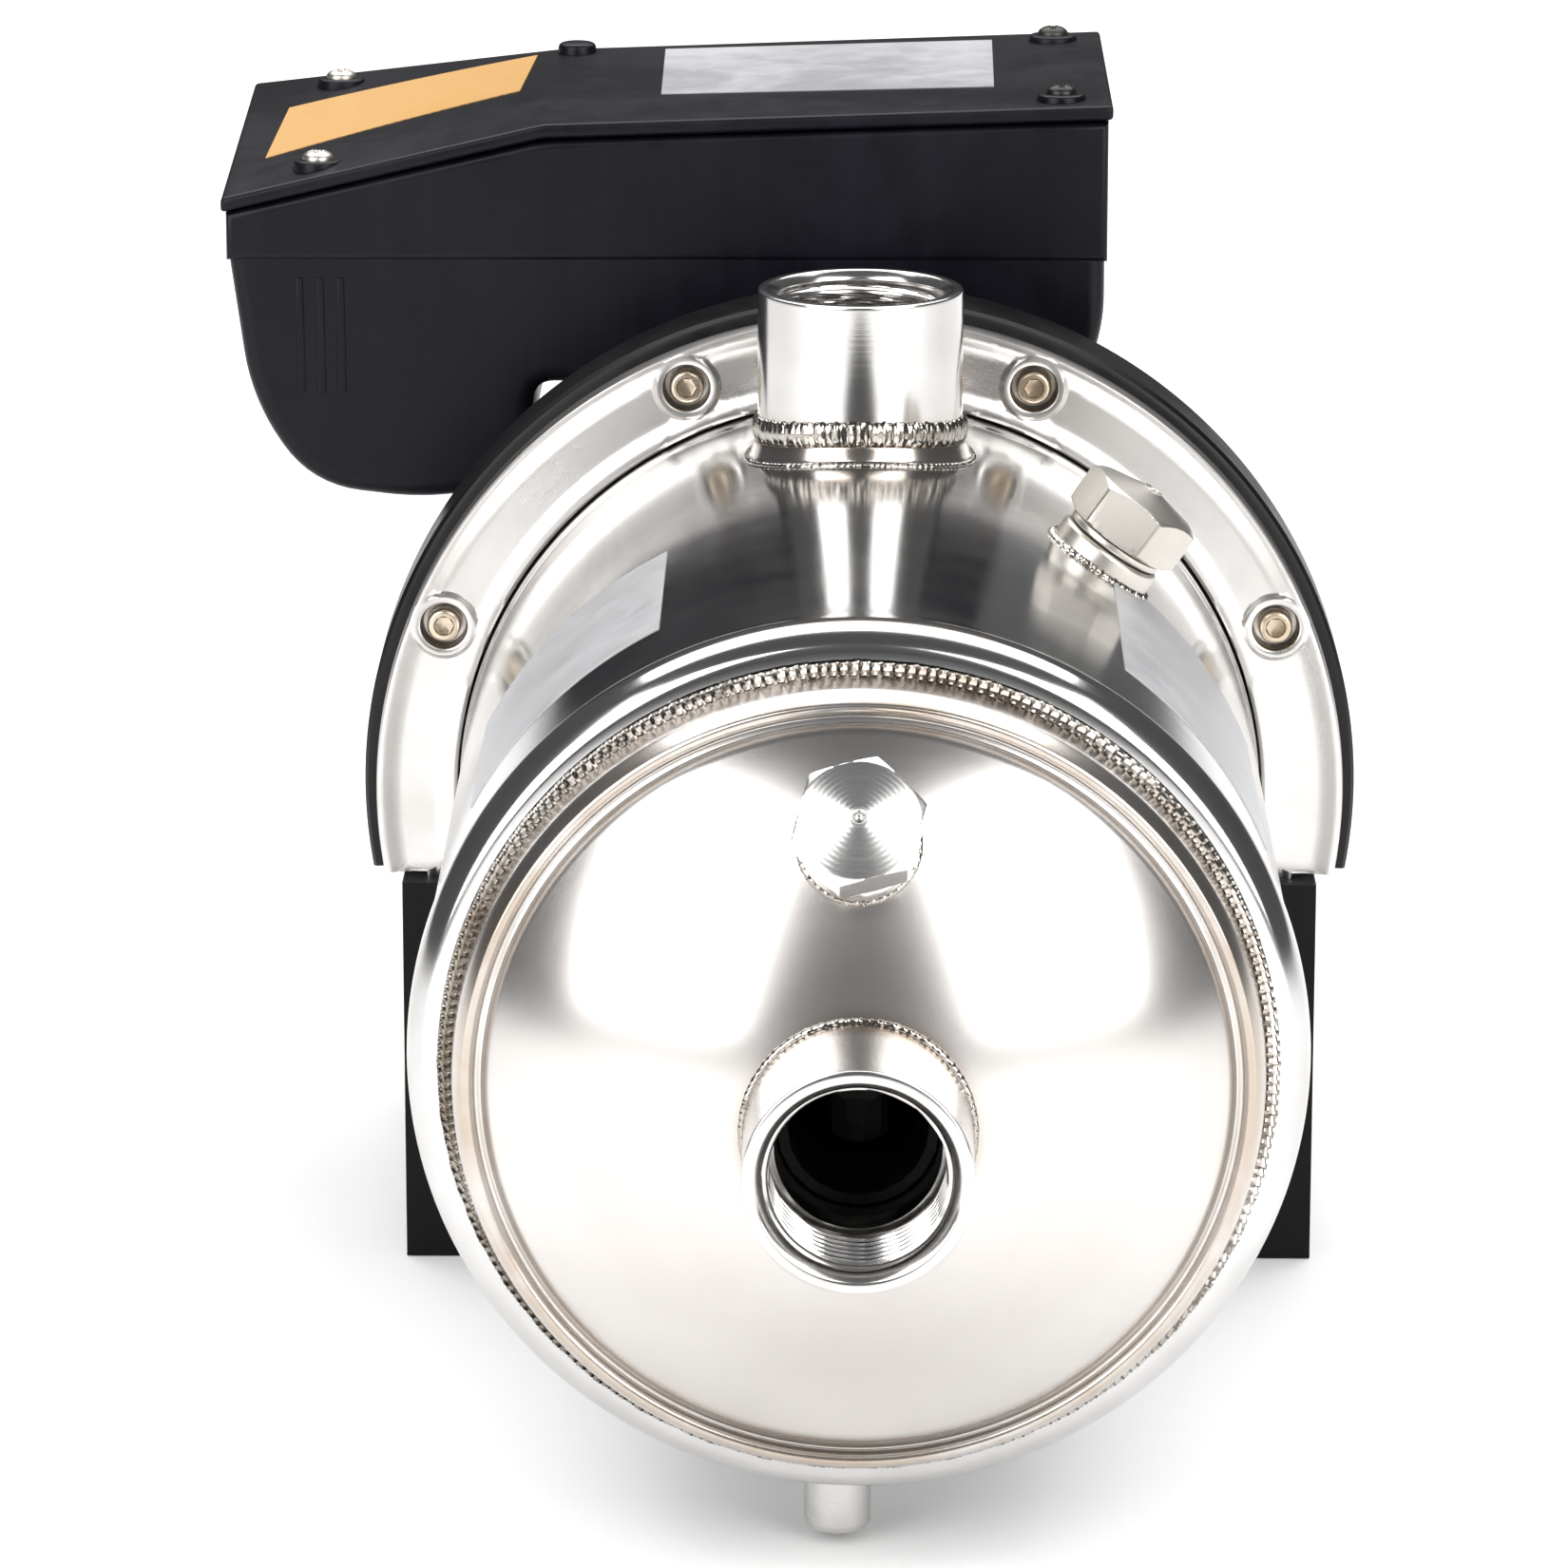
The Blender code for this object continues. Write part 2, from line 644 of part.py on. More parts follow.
def make_drain():
    """Drain boss below the barrel with a recessed plug and its seal."""
    top = drain_top()
    place = frame_on(Vector((top.x, top.y, 0.0)), (0.0, 0.0, 1.0))
    end = DRAIN_CLEARANCE
    root = AXIS_HEIGHT - BARREL_RADIUS + BOSS_SUNK
    boss = [
        (root, DRAIN_BORE),
        (root, DRAIN_RADIUS),
        (end + DRAIN_CHAMFER, DRAIN_RADIUS),
        (end, DRAIN_RADIUS - DRAIN_CHAMFER),
        (end, DRAIN_BORE),
    ]
    turned("drain_boss", boss, place, FINE, BRUSHED)
    low = end + DRAIN_PLUG_SUNK
    stem = DRAIN_BORE - GAP
    plug = [
        (low, 0.0),
        (low, stem),
        (low + DRAIN_STEM_LENGTH, stem),
        (low + DRAIN_STEM_LENGTH, 0.0),
    ]
    made = turned("drain_plug", plug, place, FINE, ZINC)
    deep = low + DRAIN_SOCKET_DEPTH
    socket = prism("socket", hexagon(DRAIN_SOCKET), end, deep, place, ZINC)
    combine(made, socket, "DIFFERENCE")
    seat = low + DRAIN_STEM_LENGTH + GAP
    seal = [(seat, 0.0), (seat, stem), (seat + DRAIN_SEAL, stem), (seat + DRAIN_SEAL, 0.0)]
    turned("drain_seal", seal, place, FINE, RUBBER)


def make_clamp():
    """Clamp ring in front of the barrel's lip, and its screws."""
    outline = flange_outline(RING_RADIUS, LOWER_HALF_WIDTH, LOWER_FLAT)
    ring = prism("clamp_ring", outline, 0.0, RING_THICKNESS, axial(), BRUSHED)
    bore = BARREL_RADIUS + RING_BORE_GAP
    tool = prism("bore", circle(bore, ROUND), -0.01, 0.02, axial(), STEEL)
    combine(ring, tool, "DIFFERENCE")
    for x, z, lower in bolt_places():
        drill(ring, BOLT_HOLE, on_axis(-0.01, x, z), on_axis(0.02, x, z), SMALL)
        if not lower:
            drill(ring, BOLT_POCKET, on_axis(-0.01, x, z), on_axis(BOLT_SINK, x, z), SMALL)
    for number, (x, z, lower) in enumerate(bolt_places(), 1):
        seat = -STAND_WALL - GAP if lower else BOLT_SINK
        tip = BRACKET_FACE + BOLT_BITE
        screw = [
            (seat - GAP - BOLT_HEAD_HEIGHT, 0.0),
            (seat - GAP - BOLT_HEAD_HEIGHT, BOLT_HEAD),
            (seat - GAP, BOLT_HEAD),
            (seat - GAP, BOLT_SHANK),
            (tip, BOLT_SHANK),
            (tip, 0.0),
        ]
        place = frame_on(on_axis(0.0, x, z), (0.0, 1.0, 0.0))
        made = turned("flange_screw_%d" % number, screw, place, SMALL, ZINC)
        face = seat - GAP - BOLT_HEAD_HEIGHT
        socket = prism(
            "socket", hexagon(BOLT_SOCKET), face - GAP, face + SOCKET_DEPTH, place, ZINC
        )
        combine(made, socket, "DIFFERENCE")


def make_stand():
    """Plastic stand: front plate round the barrel, side walls and a slotted base."""
    half = STAND_WIDTH / 2
    rear = STAND_LENGTH
    side = [
        (0.0, 0.0),
        (rear, 0.0),
        (rear, AXIS_HEIGHT + STAND_REAR_TOP),
        (STAND_LENGTH * STAND_REAR_SHARE, AXIS_HEIGHT + STAND_REAR_TOP),
        (2 * STAND_WALL, AXIS_HEIGHT + STAND_PLATE_TOP),
        (0.0, AXIS_HEIGHT + STAND_PLATE_TOP),
    ]
    block = prism(
        "stand", side, -half, half, frame_on((0.0, STAND_FRONT, 0.0), (1, 0, 0), (0, 1, 0)), BLACK
    )
    room = prism(
        "room",
        box_outline(-half + STAND_WALL, half - STAND_WALL, STAND_FLOOR, 2 * AXIS_HEIGHT),
        STAND_WALL,
        STAND_LENGTH + 0.01,
        frame_on((0.0, STAND_FRONT, 0.0), (0, 1, 0), (-1, 0, 0)),
        BLACK,
    )
    combine(block, room, "DIFFERENCE")
    mouth = BARREL_RADIUS + RING_BORE_GAP
    start = on_axis(0.0)
    drill(block, mouth, start - Vector((0, 10 * STAND_WALL, 0)), start, ROUND)
    for x, z, lower in bolt_places():
        if lower:
            drill(block, BOLT_HOLE, on_axis(-0.02, x, z), on_axis(0.02, x, z), SMALL)
    for sx in (-0.5, 0.5):
        for sy in (-0.5, 0.5):
            x, y = sx * SLOT_SPACING_X, sy * SLOT_SPACING_Y
            ends = [(x - s * (SLOT_LENGTH - SLOT_WIDTH) / 2, y) for s in (1, -1)]
            turnings = [math.pi / 2 + math.pi * k / 6 for k in range(7)]
            outline = [
                (ends[0][0] + SLOT_WIDTH / 2 * math.cos(t), y + SLOT_WIDTH / 2 * math.sin(t))
                for t in turnings
            ]
            outline += [
                (ends[1][0] - SLOT_WIDTH / 2 * math.cos(t), y - SLOT_WIDTH / 2 * math.sin(t))
                for t in turnings
            ]
            up = frame_on((0, 0, 0), (0, 0, 1))
            slot = prism("slot", outline, -0.01, 2 * STAND_FLOOR, up, BLACK)
            combine(block, slot, "DIFFERENCE")
    return block


def make_wet_end():
    """O-ring, seal plate, guide bowl, ejector, nozzle, impeller, nut and shaft seal."""
    wire = [
        (ORING_STATION + y, BARREL_RADIUS + ORING_SEAT + x) for x, y in circle(ORING_WIRE, 6)
    ]
    turned("casing_o_ring", wire, axial(), ROUND, RUBBER)
    plate = [
        (SEAL_PLATE_STATION, SEAL_PLATE_BORE),
        (SEAL_PLATE_STATION, BARREL_LIP),
        (SEAL_PLATE_STATION + SEAL_PLATE, BARREL_LIP),
        (SEAL_PLATE_STATION + SEAL_PLATE, SEAL_PLATE_BORE),
    ]
    turned("seal_plate", plate, axial(), ROUND, STEEL)
    eye = IMPELLER_STATION - IMPELLER_DISC - VANE_HEIGHT - IMPELLER_MOUTH
    rear = SEAL_PLATE_STATION - GAP
    room = IMPELLER_RADIUS + IMPELLER_PLAY
    bowl = [
        (eye, EYE_RADIUS),
        (eye, room),
        (rear, room),
        (rear, room + GUIDE_WALL),
        (eye + GUIDE_WALL, GUIDE_RADIUS),
        (eye - GUIDE_WALL, GUIDE_RADIUS),
        (eye - GUIDE_WALL, EYE_RADIUS),
    ]
    turned("guide_bowl", bowl, axial(), FINE, BLACK)
    make_ejector(eye - GUIDE_WALL - GAP)
    make_impeller()
    nut_face = IMPELLER_STATION - IMPELLER_DISC - VANE_HEIGHT - GAP
    nut_end = nut_face - NUT_HEIGHT
    nut = prism("impeller_nut", hexagon(NUT_HEX), nut_end, nut_face, axial(), BRASS)
    drill(nut, SHAFT_THREAD + GAP, on_axis(nut_face - 0.02), on_axis(nut_face + 0.02), SMALL)
    face = IMPELLER_STATION + GAP
    meet = SEAL_PLATE_STATION - SEAL_MEET
    bore = SHAFT_WET + GAP
    head = [(face, bore), (face, HUB_RADIUS), (meet, HUB_RADIUS), (meet, bore)]
    turned("shaft_seal_head", head, axial(), FINE, RUBBER)
    seat = [
        (meet + GAP, SHAFT_WET + 0.001),
        (meet + GAP, SEAL_PLATE_BORE - GAP),
        (SEAL_PLATE_STATION + SEAL_PLATE, SEAL_PLATE_BORE - GAP),
        (SEAL_PLATE_STATION + SEAL_PLATE, SHAFT_WET + 0.001),
    ]
    turned("shaft_seal_seat", seat, axial(), FINE, CERAMIC)


def make_ejector(rear):
    """Ejector tube from behind the suction mouth to the impeller's eye, and its nozzle."""
    front = SUCTION_STATION + THREAD_DEPTH + EJECTOR_SETBACK
    slim = front + EJECTOR_SLIM
    wide = slim + EJECTOR_FLARE
    chamber = front + CHAMBER_LENGTH
    throat = chamber + EJECTOR_TAPER
    diffuser = throat + THROAT_LENGTH
    spigot = PORT_SEAT_BORE - GAP
    spigot_bore = spigot - EJECTOR_WALL * 0.6
    inside = EJECTOR_RADIUS - EJECTOR_WALL
    body = [
        (front, spigot_bore),
        (front, spigot),
        (slim, spigot),
        (wide, EJECTOR_RADIUS),
        (chamber, EJECTOR_RADIUS),
        (throat, THROAT_RADIUS),
        (diffuser, THROAT_RADIUS),
        (rear - EJECTOR_FLARE, EYE_RADIUS + 0.001),
        (rear, EYE_RADIUS + EJECTOR_FLARE),
        (rear, EYE_RADIUS - EJECTOR_WALL),
        (diffuser, THROAT_BORE),
        (throat, THROAT_BORE),
        (chamber - 0.002, inside),
        (wide, inside),
        (slim, spigot_bore),
    ]
    ejector = turned("ejector_body", body, axial(), FINE, BLACK)
    tip = chamber + 0.002
    back = tip - NOZZLE_LENGTH
    cone = [
        (back, 0.0),
        (back, NOZZLE_RADIUS),
        (back + NOZZLE_SHOULDER, NOZZLE_RADIUS),
        (tip, NOZZLE_TIP),
        (tip, 0.0),
    ]
    nozzle = turned("ejector_nozzle", cone, axial(), SMALL, GREY)
    mid = back + NOZZLE_SHOULDER / 2
    down = frame_on(on_axis(mid), (0.0, 0.0, -1.0))
    reach = EJECTOR_RADIUS + STUB_REACH
    stub = prism("stub", circle(STUB_RADIUS, SMALL, start=0.1), GAP, reach, down, GREY)
    combine(nozzle, stub, "UNION")
    drill(nozzle, NOZZLE_BORE, on_axis(mid), on_axis(tip + 0.01), SMALL)
    drill(nozzle, STUB_BORE, on_axis(mid, z=0.001), on_axis(mid, z=-reach - 0.01), SMALL)
    drill(ejector, STUB_RADIUS + 2 * GAP, on_axis(mid), on_axis(mid, z=-reach - 0.01), SMALL)


def make_impeller():
    """Impeller: disc and hub with backward-curved vanes in one piece."""
    rear = IMPELLER_STATION
    face = rear - IMPELLER_DISC
    bore = SHAFT_WET + GAP
    nose = face - VANE_HEIGHT
    profile = [
        (rear, bore),
        (rear, IMPELLER_RADIUS),
        (face, IMPELLER_RADIUS),
        (face, HUB_RADIUS),
        (nose, HUB_RADIUS - 0.003),
        (nose, bore),
    ]
    impeller = turned("impeller", profile, axial(), FINE, BRASS)
    steps = 4
    for k in range(VANE_COUNT):
        left, right = [], []
        for s in range(steps + 1):
            share = s / steps
            radius = HUB_RADIUS - VANE_ROOT + (IMPELLER_RADIUS - VANE_ROOT - HUB_RADIUS) * share
            angle = TURN * k / VANE_COUNT - VANE_SWEEP * share
            half = VANE_WIDTH / 2 / radius
            left.append((radius * math.cos(angle - half), radius * math.sin(angle - half)))
            right.append((radius * math.cos(angle + half), radius * math.sin(angle + half)))
        vane = prism(
            "vane", left + right[::-1], nose + 0.0006, face + 0.0008, axial(), BRASS
        )
        combine(impeller, vane, "UNION")
    return impeller


def make_shaft():
    """Stepped shaft with the rotor core, bearings and fan that turn with it or carry it."""
    nose = IMPELLER_STATION - IMPELLER_DISC - VANE_HEIGHT
    front = FRONT_BEARING_STATION - BEARING_WIDTH
    core = STATOR_STATION
    core_end = STATOR_STATION + STATOR_LENGTH
    rear = REAR_BEARING_STATION
    profile = [
        (nose - 0.009, 0.0),
        (nose - 0.009, SHAFT_THREAD),
        (nose, SHAFT_THREAD),
        (nose, SHAFT_WET),
        (front - 0.002, SHAFT_WET),
        (front - 0.002, SHAFT_BEARING),
        (front + BEARING_WIDTH + 0.001, SHAFT_BEARING),
        (front + BEARING_WIDTH + 0.001, SHAFT_ROTOR),
        (rear - 0.001, SHAFT_ROTOR),
        (rear - 0.001, SHAFT_BEARING),
        (rear + BEARING_WIDTH + 0.002, SHAFT_BEARING),
        (rear + BEARING_WIDTH + 0.002, SHAFT_WET),
        (SHAFT_END, SHAFT_WET),
        (SHAFT_END, 0.0),
    ]
    turned("motor_shaft", profile, axial(), FINE, STEEL)
    bore = SHAFT_ROTOR + GAP
    outside = STATOR_BORE - AIR_GAP
    rotor = [(core, bore), (core, outside), (core_end, outside), (core_end, bore)]
    turned("rotor_core", rotor, axial(), ROUND, IRON)
    for name, station in (("front_bearing", front), ("rear_bearing", rear)):
        inside, outside = SHAFT_BEARING + GAP, BEARING_RADIUS
        end = station + BEARING_WIDTH
        ring = [(station, inside), (station, outside), (end, outside), (end, inside)]
        turned(name, ring, axial(), FINE, STEEL)
    make_fan()


def make_fan():
    """Cooling fan: hub with straight radial blades, one extruded outline."""
    outline = []
    for k in range(FAN_BLADES):
        angle = TURN * k / FAN_BLADES
        along = Vector((math.cos(angle), math.sin(angle)))
        across = Vector((-math.sin(angle), math.cos(angle)))
        for reach, side in ((FAN_HUB, -1), (FAN_RADIUS, -1), (FAN_RADIUS, 1), (FAN_HUB, 1)):
            outline.append(tuple(along * reach + across * side * FAN_BLADE_HALF))
        for s in (1, 2, 3):
            turn = angle + TURN / FAN_BLADES * s / 4
            outline.append((FAN_HUB * math.cos(turn), FAN_HUB * math.sin(turn)))
    fan = prism("cooling_fan", outline, FAN_STATION, FAN_STATION + FAN_WIDTH, axial(), BLACK)
    bore = SHAFT_WET + GAP
    end = FAN_STATION + FAN_WIDTH
    drill(fan, bore, on_axis(FAN_STATION - 0.01), on_axis(end + 0.01), FINE)


def make_bracket():
    """Motor bracket: flange rim, pocket for the casing and housing of the front bearing."""
    outline = flange_outline(BRACKET_RADIUS, LOWER_HALF_WIDTH, LOWER_FLAT)
    bracket = prism(
        "motor_bracket", outline, BRACKET_FACE, BRACKET_FACE + BRACKET_RIM, axial(), CAST
    )
    lip = BARREL_LIP + GAP
    pocket = prism("pocket", circle(lip, ROUND), -0.01, BRACKET_POCKET, axial(), CAST)
    combine(bracket, pocket, "DIFFERENCE")
    wall_rear = BRACKET_POCKET + BRACKET_WALL
    rim_rear = BRACKET_FACE + BRACKET_RIM
    hollow = [
        (wall_rear, FRAME_RADIUS - FRAME_WALL),
        (rim_rear + 0.01, FRAME_RADIUS - FRAME_WALL),
        (rim_rear + 0.01, BEARING_RADIUS + HOUSING_WALL + 0.004),
        (wall_rear, BEARING_RADIUS + HOUSING_WALL + 0.004),
    ]
    combine(bracket, turned("hollow", hollow, axial(), ROUND, CAST), "DIFFERENCE")
    spigot = [
        (rim_rear - 0.004, FRAME_RADIUS - FRAME_WALL + 0.0001),
        (rim_rear - 0.004, FRAME_RADIUS + FIN_HEIGHT),
        (BRACKET_REAR, FRAME_RADIUS),
        (BRACKET_REAR, FRAME_RADIUS - FRAME_WALL + 0.0001),
    ]
    combine(bracket, turned("spigot", spigot, axial(), ROUND, CAST), "UNION")
    housing = [
        (wall_rear - 0.002, 0.0),
        (wall_rear - 0.002, BEARING_RADIUS + HOUSING_WALL),
        (BRACKET_REAR, BEARING_RADIUS + HOUSING_WALL),
        (BRACKET_REAR, 0.0),
    ]
    combine(bracket, turned("housing", housing, axial(), FINE, CAST), "UNION")
    seat = FRONT_BEARING_STATION - BEARING_WIDTH - GAP
    drill(bracket, SHAFT_BEARING + 0.002, on_axis(-0.02), on_axis(0.06), FINE)
    drill(bracket, BEARING_RADIUS + GAP, on_axis(seat), on_axis(0.06), FINE)
    for x, z, _ in bolt_places():
        tip = BRACKET_FACE + BOLT_BITE + GAP
        drill(bracket, BOLT_SHANK + GAP, on_axis(-0.02, x, z), on_axis(tip, x, z), SMALL)
    return bracket


def make_motor():
    """Finned frame with a pad for the box, stator core, end windings, shield and cover."""
    outline = []
    per_fin = 4
    total = FIN_COUNT * per_fin
    pad = BOX_FLOOR - GAP
    root, tip = FRAME_RADIUS, FRAME_RADIUS + FIN_HEIGHT
    for k in range(total):
        angle = TURN * k / total
        radius = tip if k % per_fin in (0, 1) else root
        x, z = radius * math.cos(angle), radius * math.sin(angle)
        if abs(x) < PAD_HALF_WIDTH and z > 0:
            z = pad
        outline.append((x, -z))
    frame = prism("motor_frame", outline, FRAME_STATION, FRAME_END, axial(), CAST)
    inside = FRAME_RADIUS - FRAME_WALL
    tool = prism("bore", circle(inside, ROUND), 0.0, FRAME_END + 0.01, axial(), CAST)
    combine(frame, tool, "DIFFERENCE")
    a, b = STATOR_STATION, STATOR_STATION + STATOR_LENGTH
    core = [(a, STATOR_BORE), (a, STATOR_RADIUS), (b, STATOR_RADIUS), (b, STATOR_BORE)]
    turned("stator_core", core, axial(), ROUND, IRON)
    inner = STATOR_BORE + 0.004
    for name, station in (
        ("front_winding", a - GAP - COIL_LENGTH),
        ("rear_winding", b + GAP),
    ):
        end = station + COIL_LENGTH
        soft = 0.003
        coil = [
            (station + soft, inner),
            (station, inner + soft),
            (station, inner + COIL_WIDTH - soft),
            (station + soft, inner + COIL_WIDTH),
            (end - soft, inner + COIL_WIDTH),
            (end, inner + COIL_WIDTH - soft),
            (end, inner + soft),
            (end - soft, inner),
        ]
        turned(name, coil, axial(), FINE, COPPER)
    make_shield()
    make_cover()


def cover_screw_places():
    """Outward direction and surface point of each screw of the fan cover."""
    places = []
    for number in range(3):
        angle = math.radians(210 + 60 * number)
        out = Vector((math.cos(angle), 0.0, math.sin(angle)))
        places.append((out, on_axis(SHIELD_STATION + SHIELD_THICKNESS / 2) + out * COVER_RADIUS))
    return places


def make_shield():
    """Rear end shield with the housing of the rear bearing."""
    near = REAR_BEARING_STATION - 0.001
    a, b = SHIELD_STATION, SHIELD_STATION + SHIELD_THICKNESS
    housing = BEARING_RADIUS + HOUSING_WALL
    seat = BEARING_RADIUS + GAP
    end = REAR_BEARING_STATION + BEARING_WIDTH + GAP
    rim = COVER_RADIUS - COVER_WALL - GAP
    profile = [
        (near, seat),
        (near, housing),
        (a, housing),
        (a, rim),
        (b, rim),
        (b, housing),
        (end + 0.003, housing),
        (end + 0.003, SHAFT_BEARING + 0.001),
        (end, SHAFT_BEARING + 0.001),
        (end, seat),
    ]
    shield = turned("rear_shield", profile, axial(), ROUND, CAST)
    for out, surface in cover_screw_places():
        drill(shield, COVER_SCREW + GAP, surface, surface - out * (COVER_SCREW_BITE + GAP), SMALL)


def make_cover():
    """Fan cover with air slots, and its three screws."""
    front = SHIELD_STATION
    inside = COVER_RADIUS - COVER_WALL
    soft = COVER_EDGE
    profile = [
        (front, inside),
        (front, COVER_RADIUS),
        (COVER_END - soft, COVER_RADIUS),
        (COVER_END - soft * 0.3, COVER_RADIUS - soft * 0.3),
        (COVER_END, COVER_RADIUS - soft),
        (COVER_END, 0.0),
        (COVER_END - COVER_WALL, 0.0),
        (COVER_END - COVER_WALL, inside - soft),
        (COVER_END - soft, inside),
    ]
    cover = turned("fan_cover", profile, axial(), ROUND, BLACK)
    for k in range(COVER_SLOTS):
        angle = TURN * k / COVER_SLOTS
        spin = Matrix.Rotation(angle, 4, "Z")
        slot = prism(
            "slot",
            box_outline(COVER_SLOT_INNER, COVER_SLOT_OUTER, -COVER_SLOT_HALF, COVER_SLOT_HALF),
            COVER_END - 0.01,
            COVER_END + 0.01,
            axial() @ spin,
            BLACK,
        )
        combine(cover, slot, "DIFFERENCE")
    for number, (out, surface) in enumerate(cover_screw_places(), 1):
        drill(cover, COVER_SCREW + GAP, surface + out * 0.01, surface - out * 0.0035, SMALL)
        screw = [
            (-COVER_SCREW_BITE, 0.0),
            (-COVER_SCREW_BITE, COVER_SCREW),
            (GAP, COVER_SCREW),
            (GAP, 2 * COVER_SCREW),
            (GAP + 0.0012, 2 * COVER_SCREW - 0.0002),
            (GAP + 0.0020, 0.0),
        ]
        turned("cover_screw_%d" % number, screw, frame_on(surface, out), SMALL, ZINC)


def box_body(inset):
    """Outline of the box's lower part, drawn in by a wall thickness."""
    left, right = BOX_LEFT + inset, BOX_RIGHT - inset
    bulge, floor = BULGE_BOTTOM + inset, BOX_FLOOR + inset
    step = LID_FOLD_X - 0.004 - inset
    corners = [
        (left, BOX_PART_LINE),
        (left + 0.004, bulge + 0.020),
        (left + 0.016, bulge + 0.002),
        (BULGE_CENTRE + 0.008, bulge),
        (step, bulge + 0.004),
        (step + 0.002, floor),
        (right - 0.004, floor),
        (right, floor + 0.012),
        (right, BOX_PART_LINE),
    ]
    radii = [0.0, 0.010, 0.008, 0.006, 0.004, 0.003, 0.004, 0.004, 0.0]
    return rounded(corners, radii, steps=3)


def box_top(inset, drop, station):
    """Sloping upper edge of the box at a station, right to left, lowered by a drop."""
    edge = (BOX_RIGHT - inset, LID_FOLD_X, BOX_LEFT + inset)
    return [(x, lid_height(x, station) - drop) for x in edge]


def box_loft(name, outlines, low, high):
    """Solid between two outlines in (x, height above the axis), front and rear."""
    front, rear = [[(x, -z) for x, z in points] for points in outlines]
    return loft(name, front, rear, low, high, axial(), BLACK)


def box_block(name, inset, drop):
    """The box's outer shape drawn in by an inset, its top lowered by a drop."""
    a, b = BOX_STATION + inset, BOX_STATION + BOX_DEPTH - inset
    outlines = [box_body(inset) + box_top(inset, drop, end) for end in (a, b)]
    return box_loft(name, outlines, a, b)


def make_box():
    """Terminal box: base, lid with screws, capacitor, terminals and cable gland."""
    a, b = BOX_STATION, BOX_STATION + BOX_DEPTH
    base = box_block("terminal_box", 0.0, LID_LIP + GAP)
    combine(base, box_block("room", BOX_WALL, -LID_LIP), "DIFFERENCE")
    edge = LID_OVERHANG
    rim = [
        box_top(-edge, 0.0, end) + box_top(-edge, LID_LIP, end)[::-1]
        for end in (a - edge, b + edge)
    ]
    lid = box_loft("box_lid", rim, a - edge, b + edge)
    make_lid_screws(lid, base, a, b)
    make_box_contents(a, base)


def lid_height(x, station):
    """Height of the lid's upper face above the axis."""
    share = (station - BOX_STATION) / BOX_DEPTH
    left = LID_LEFT_FRONT + (LID_LEFT_REAR - LID_LEFT_FRONT) * share
    if x > LID_FOLD_X:
        return LID_FOLD + (LID_RIGHT - LID_FOLD) * (x - LID_FOLD_X) / (BOX_RIGHT - LID_FOLD_X)
    return left + (LID_FOLD - left) * (x - BOX_LEFT) / (LID_FOLD_X - BOX_LEFT)


def make_lid_screws(lid, base, a, b):
    """Four screws at the lid's corners, each in a post inside the box."""
    inset = LID_SCREW_INSET
    spots = [(BOX_LEFT + 2 * inset, a + inset), (BOX_RIGHT - inset, a + inset)]
    spots += [(BOX_LEFT + 2 * inset, b - inset), (BOX_RIGHT - inset, b - inset)]
    for number, (x, station) in enumerate(spots, 1):
        top = lid_height(x, station)
        foot = on_axis(station, x, 0.0)
        up = frame_on(foot, (0.0, 0.0, 1.0))
        post_top = top - LID_LIP - GAP - 0.001
        low = BOX_PART_LINE - POST_DEPTH
        post = prism("post", circle(POST_RADIUS, SMALL), low, post_top, up, BLACK)
        wall = (BOX_LEFT if x < 0 else BOX_RIGHT) - x
        web = prism(
            "web",
            box_outline(min(wall, 0.0), max(wall, 0.0), -WEB_HALF, WEB_HALF),
            low + GAP,
            post_top - 0.004,
            up,
            BLACK,
        )
        combine(post, web, "UNION")
        combine(post, box_block("keep", POST_INSET, LID_LIP + GAP + POST_INSET), "INTERSECT")
        combine(base, post, "UNION")
        hole = LID_SCREW_SHANK + GAP
        above = foot + Vector((0, 0, top + 0.01))
        under = foot + Vector((0, 0, top - LID_SCREW_LENGTH - 0.001))
        drill(base, hole, under, foot + Vector((0, 0, top)), SMALL)
        drill(lid, hole + FLANGE_PLAY, under, above, SMALL)
        tip, seat = top - LID_SCREW_LENGTH, top + LID_SCREW_SEAT
        screw = [
            (tip, 0.0),
            (tip, LID_SCREW_SHANK),
            (seat, LID_SCREW_SHANK),
            (seat, LID_SCREW_RADIUS),
            (seat + 0.0014, LID_SCREW_RADIUS * 0.85),
            (seat + 0.0022, 0.0),
        ]
        turned("lid_screw_%d" % number, screw, up, SMALL, ZINC)


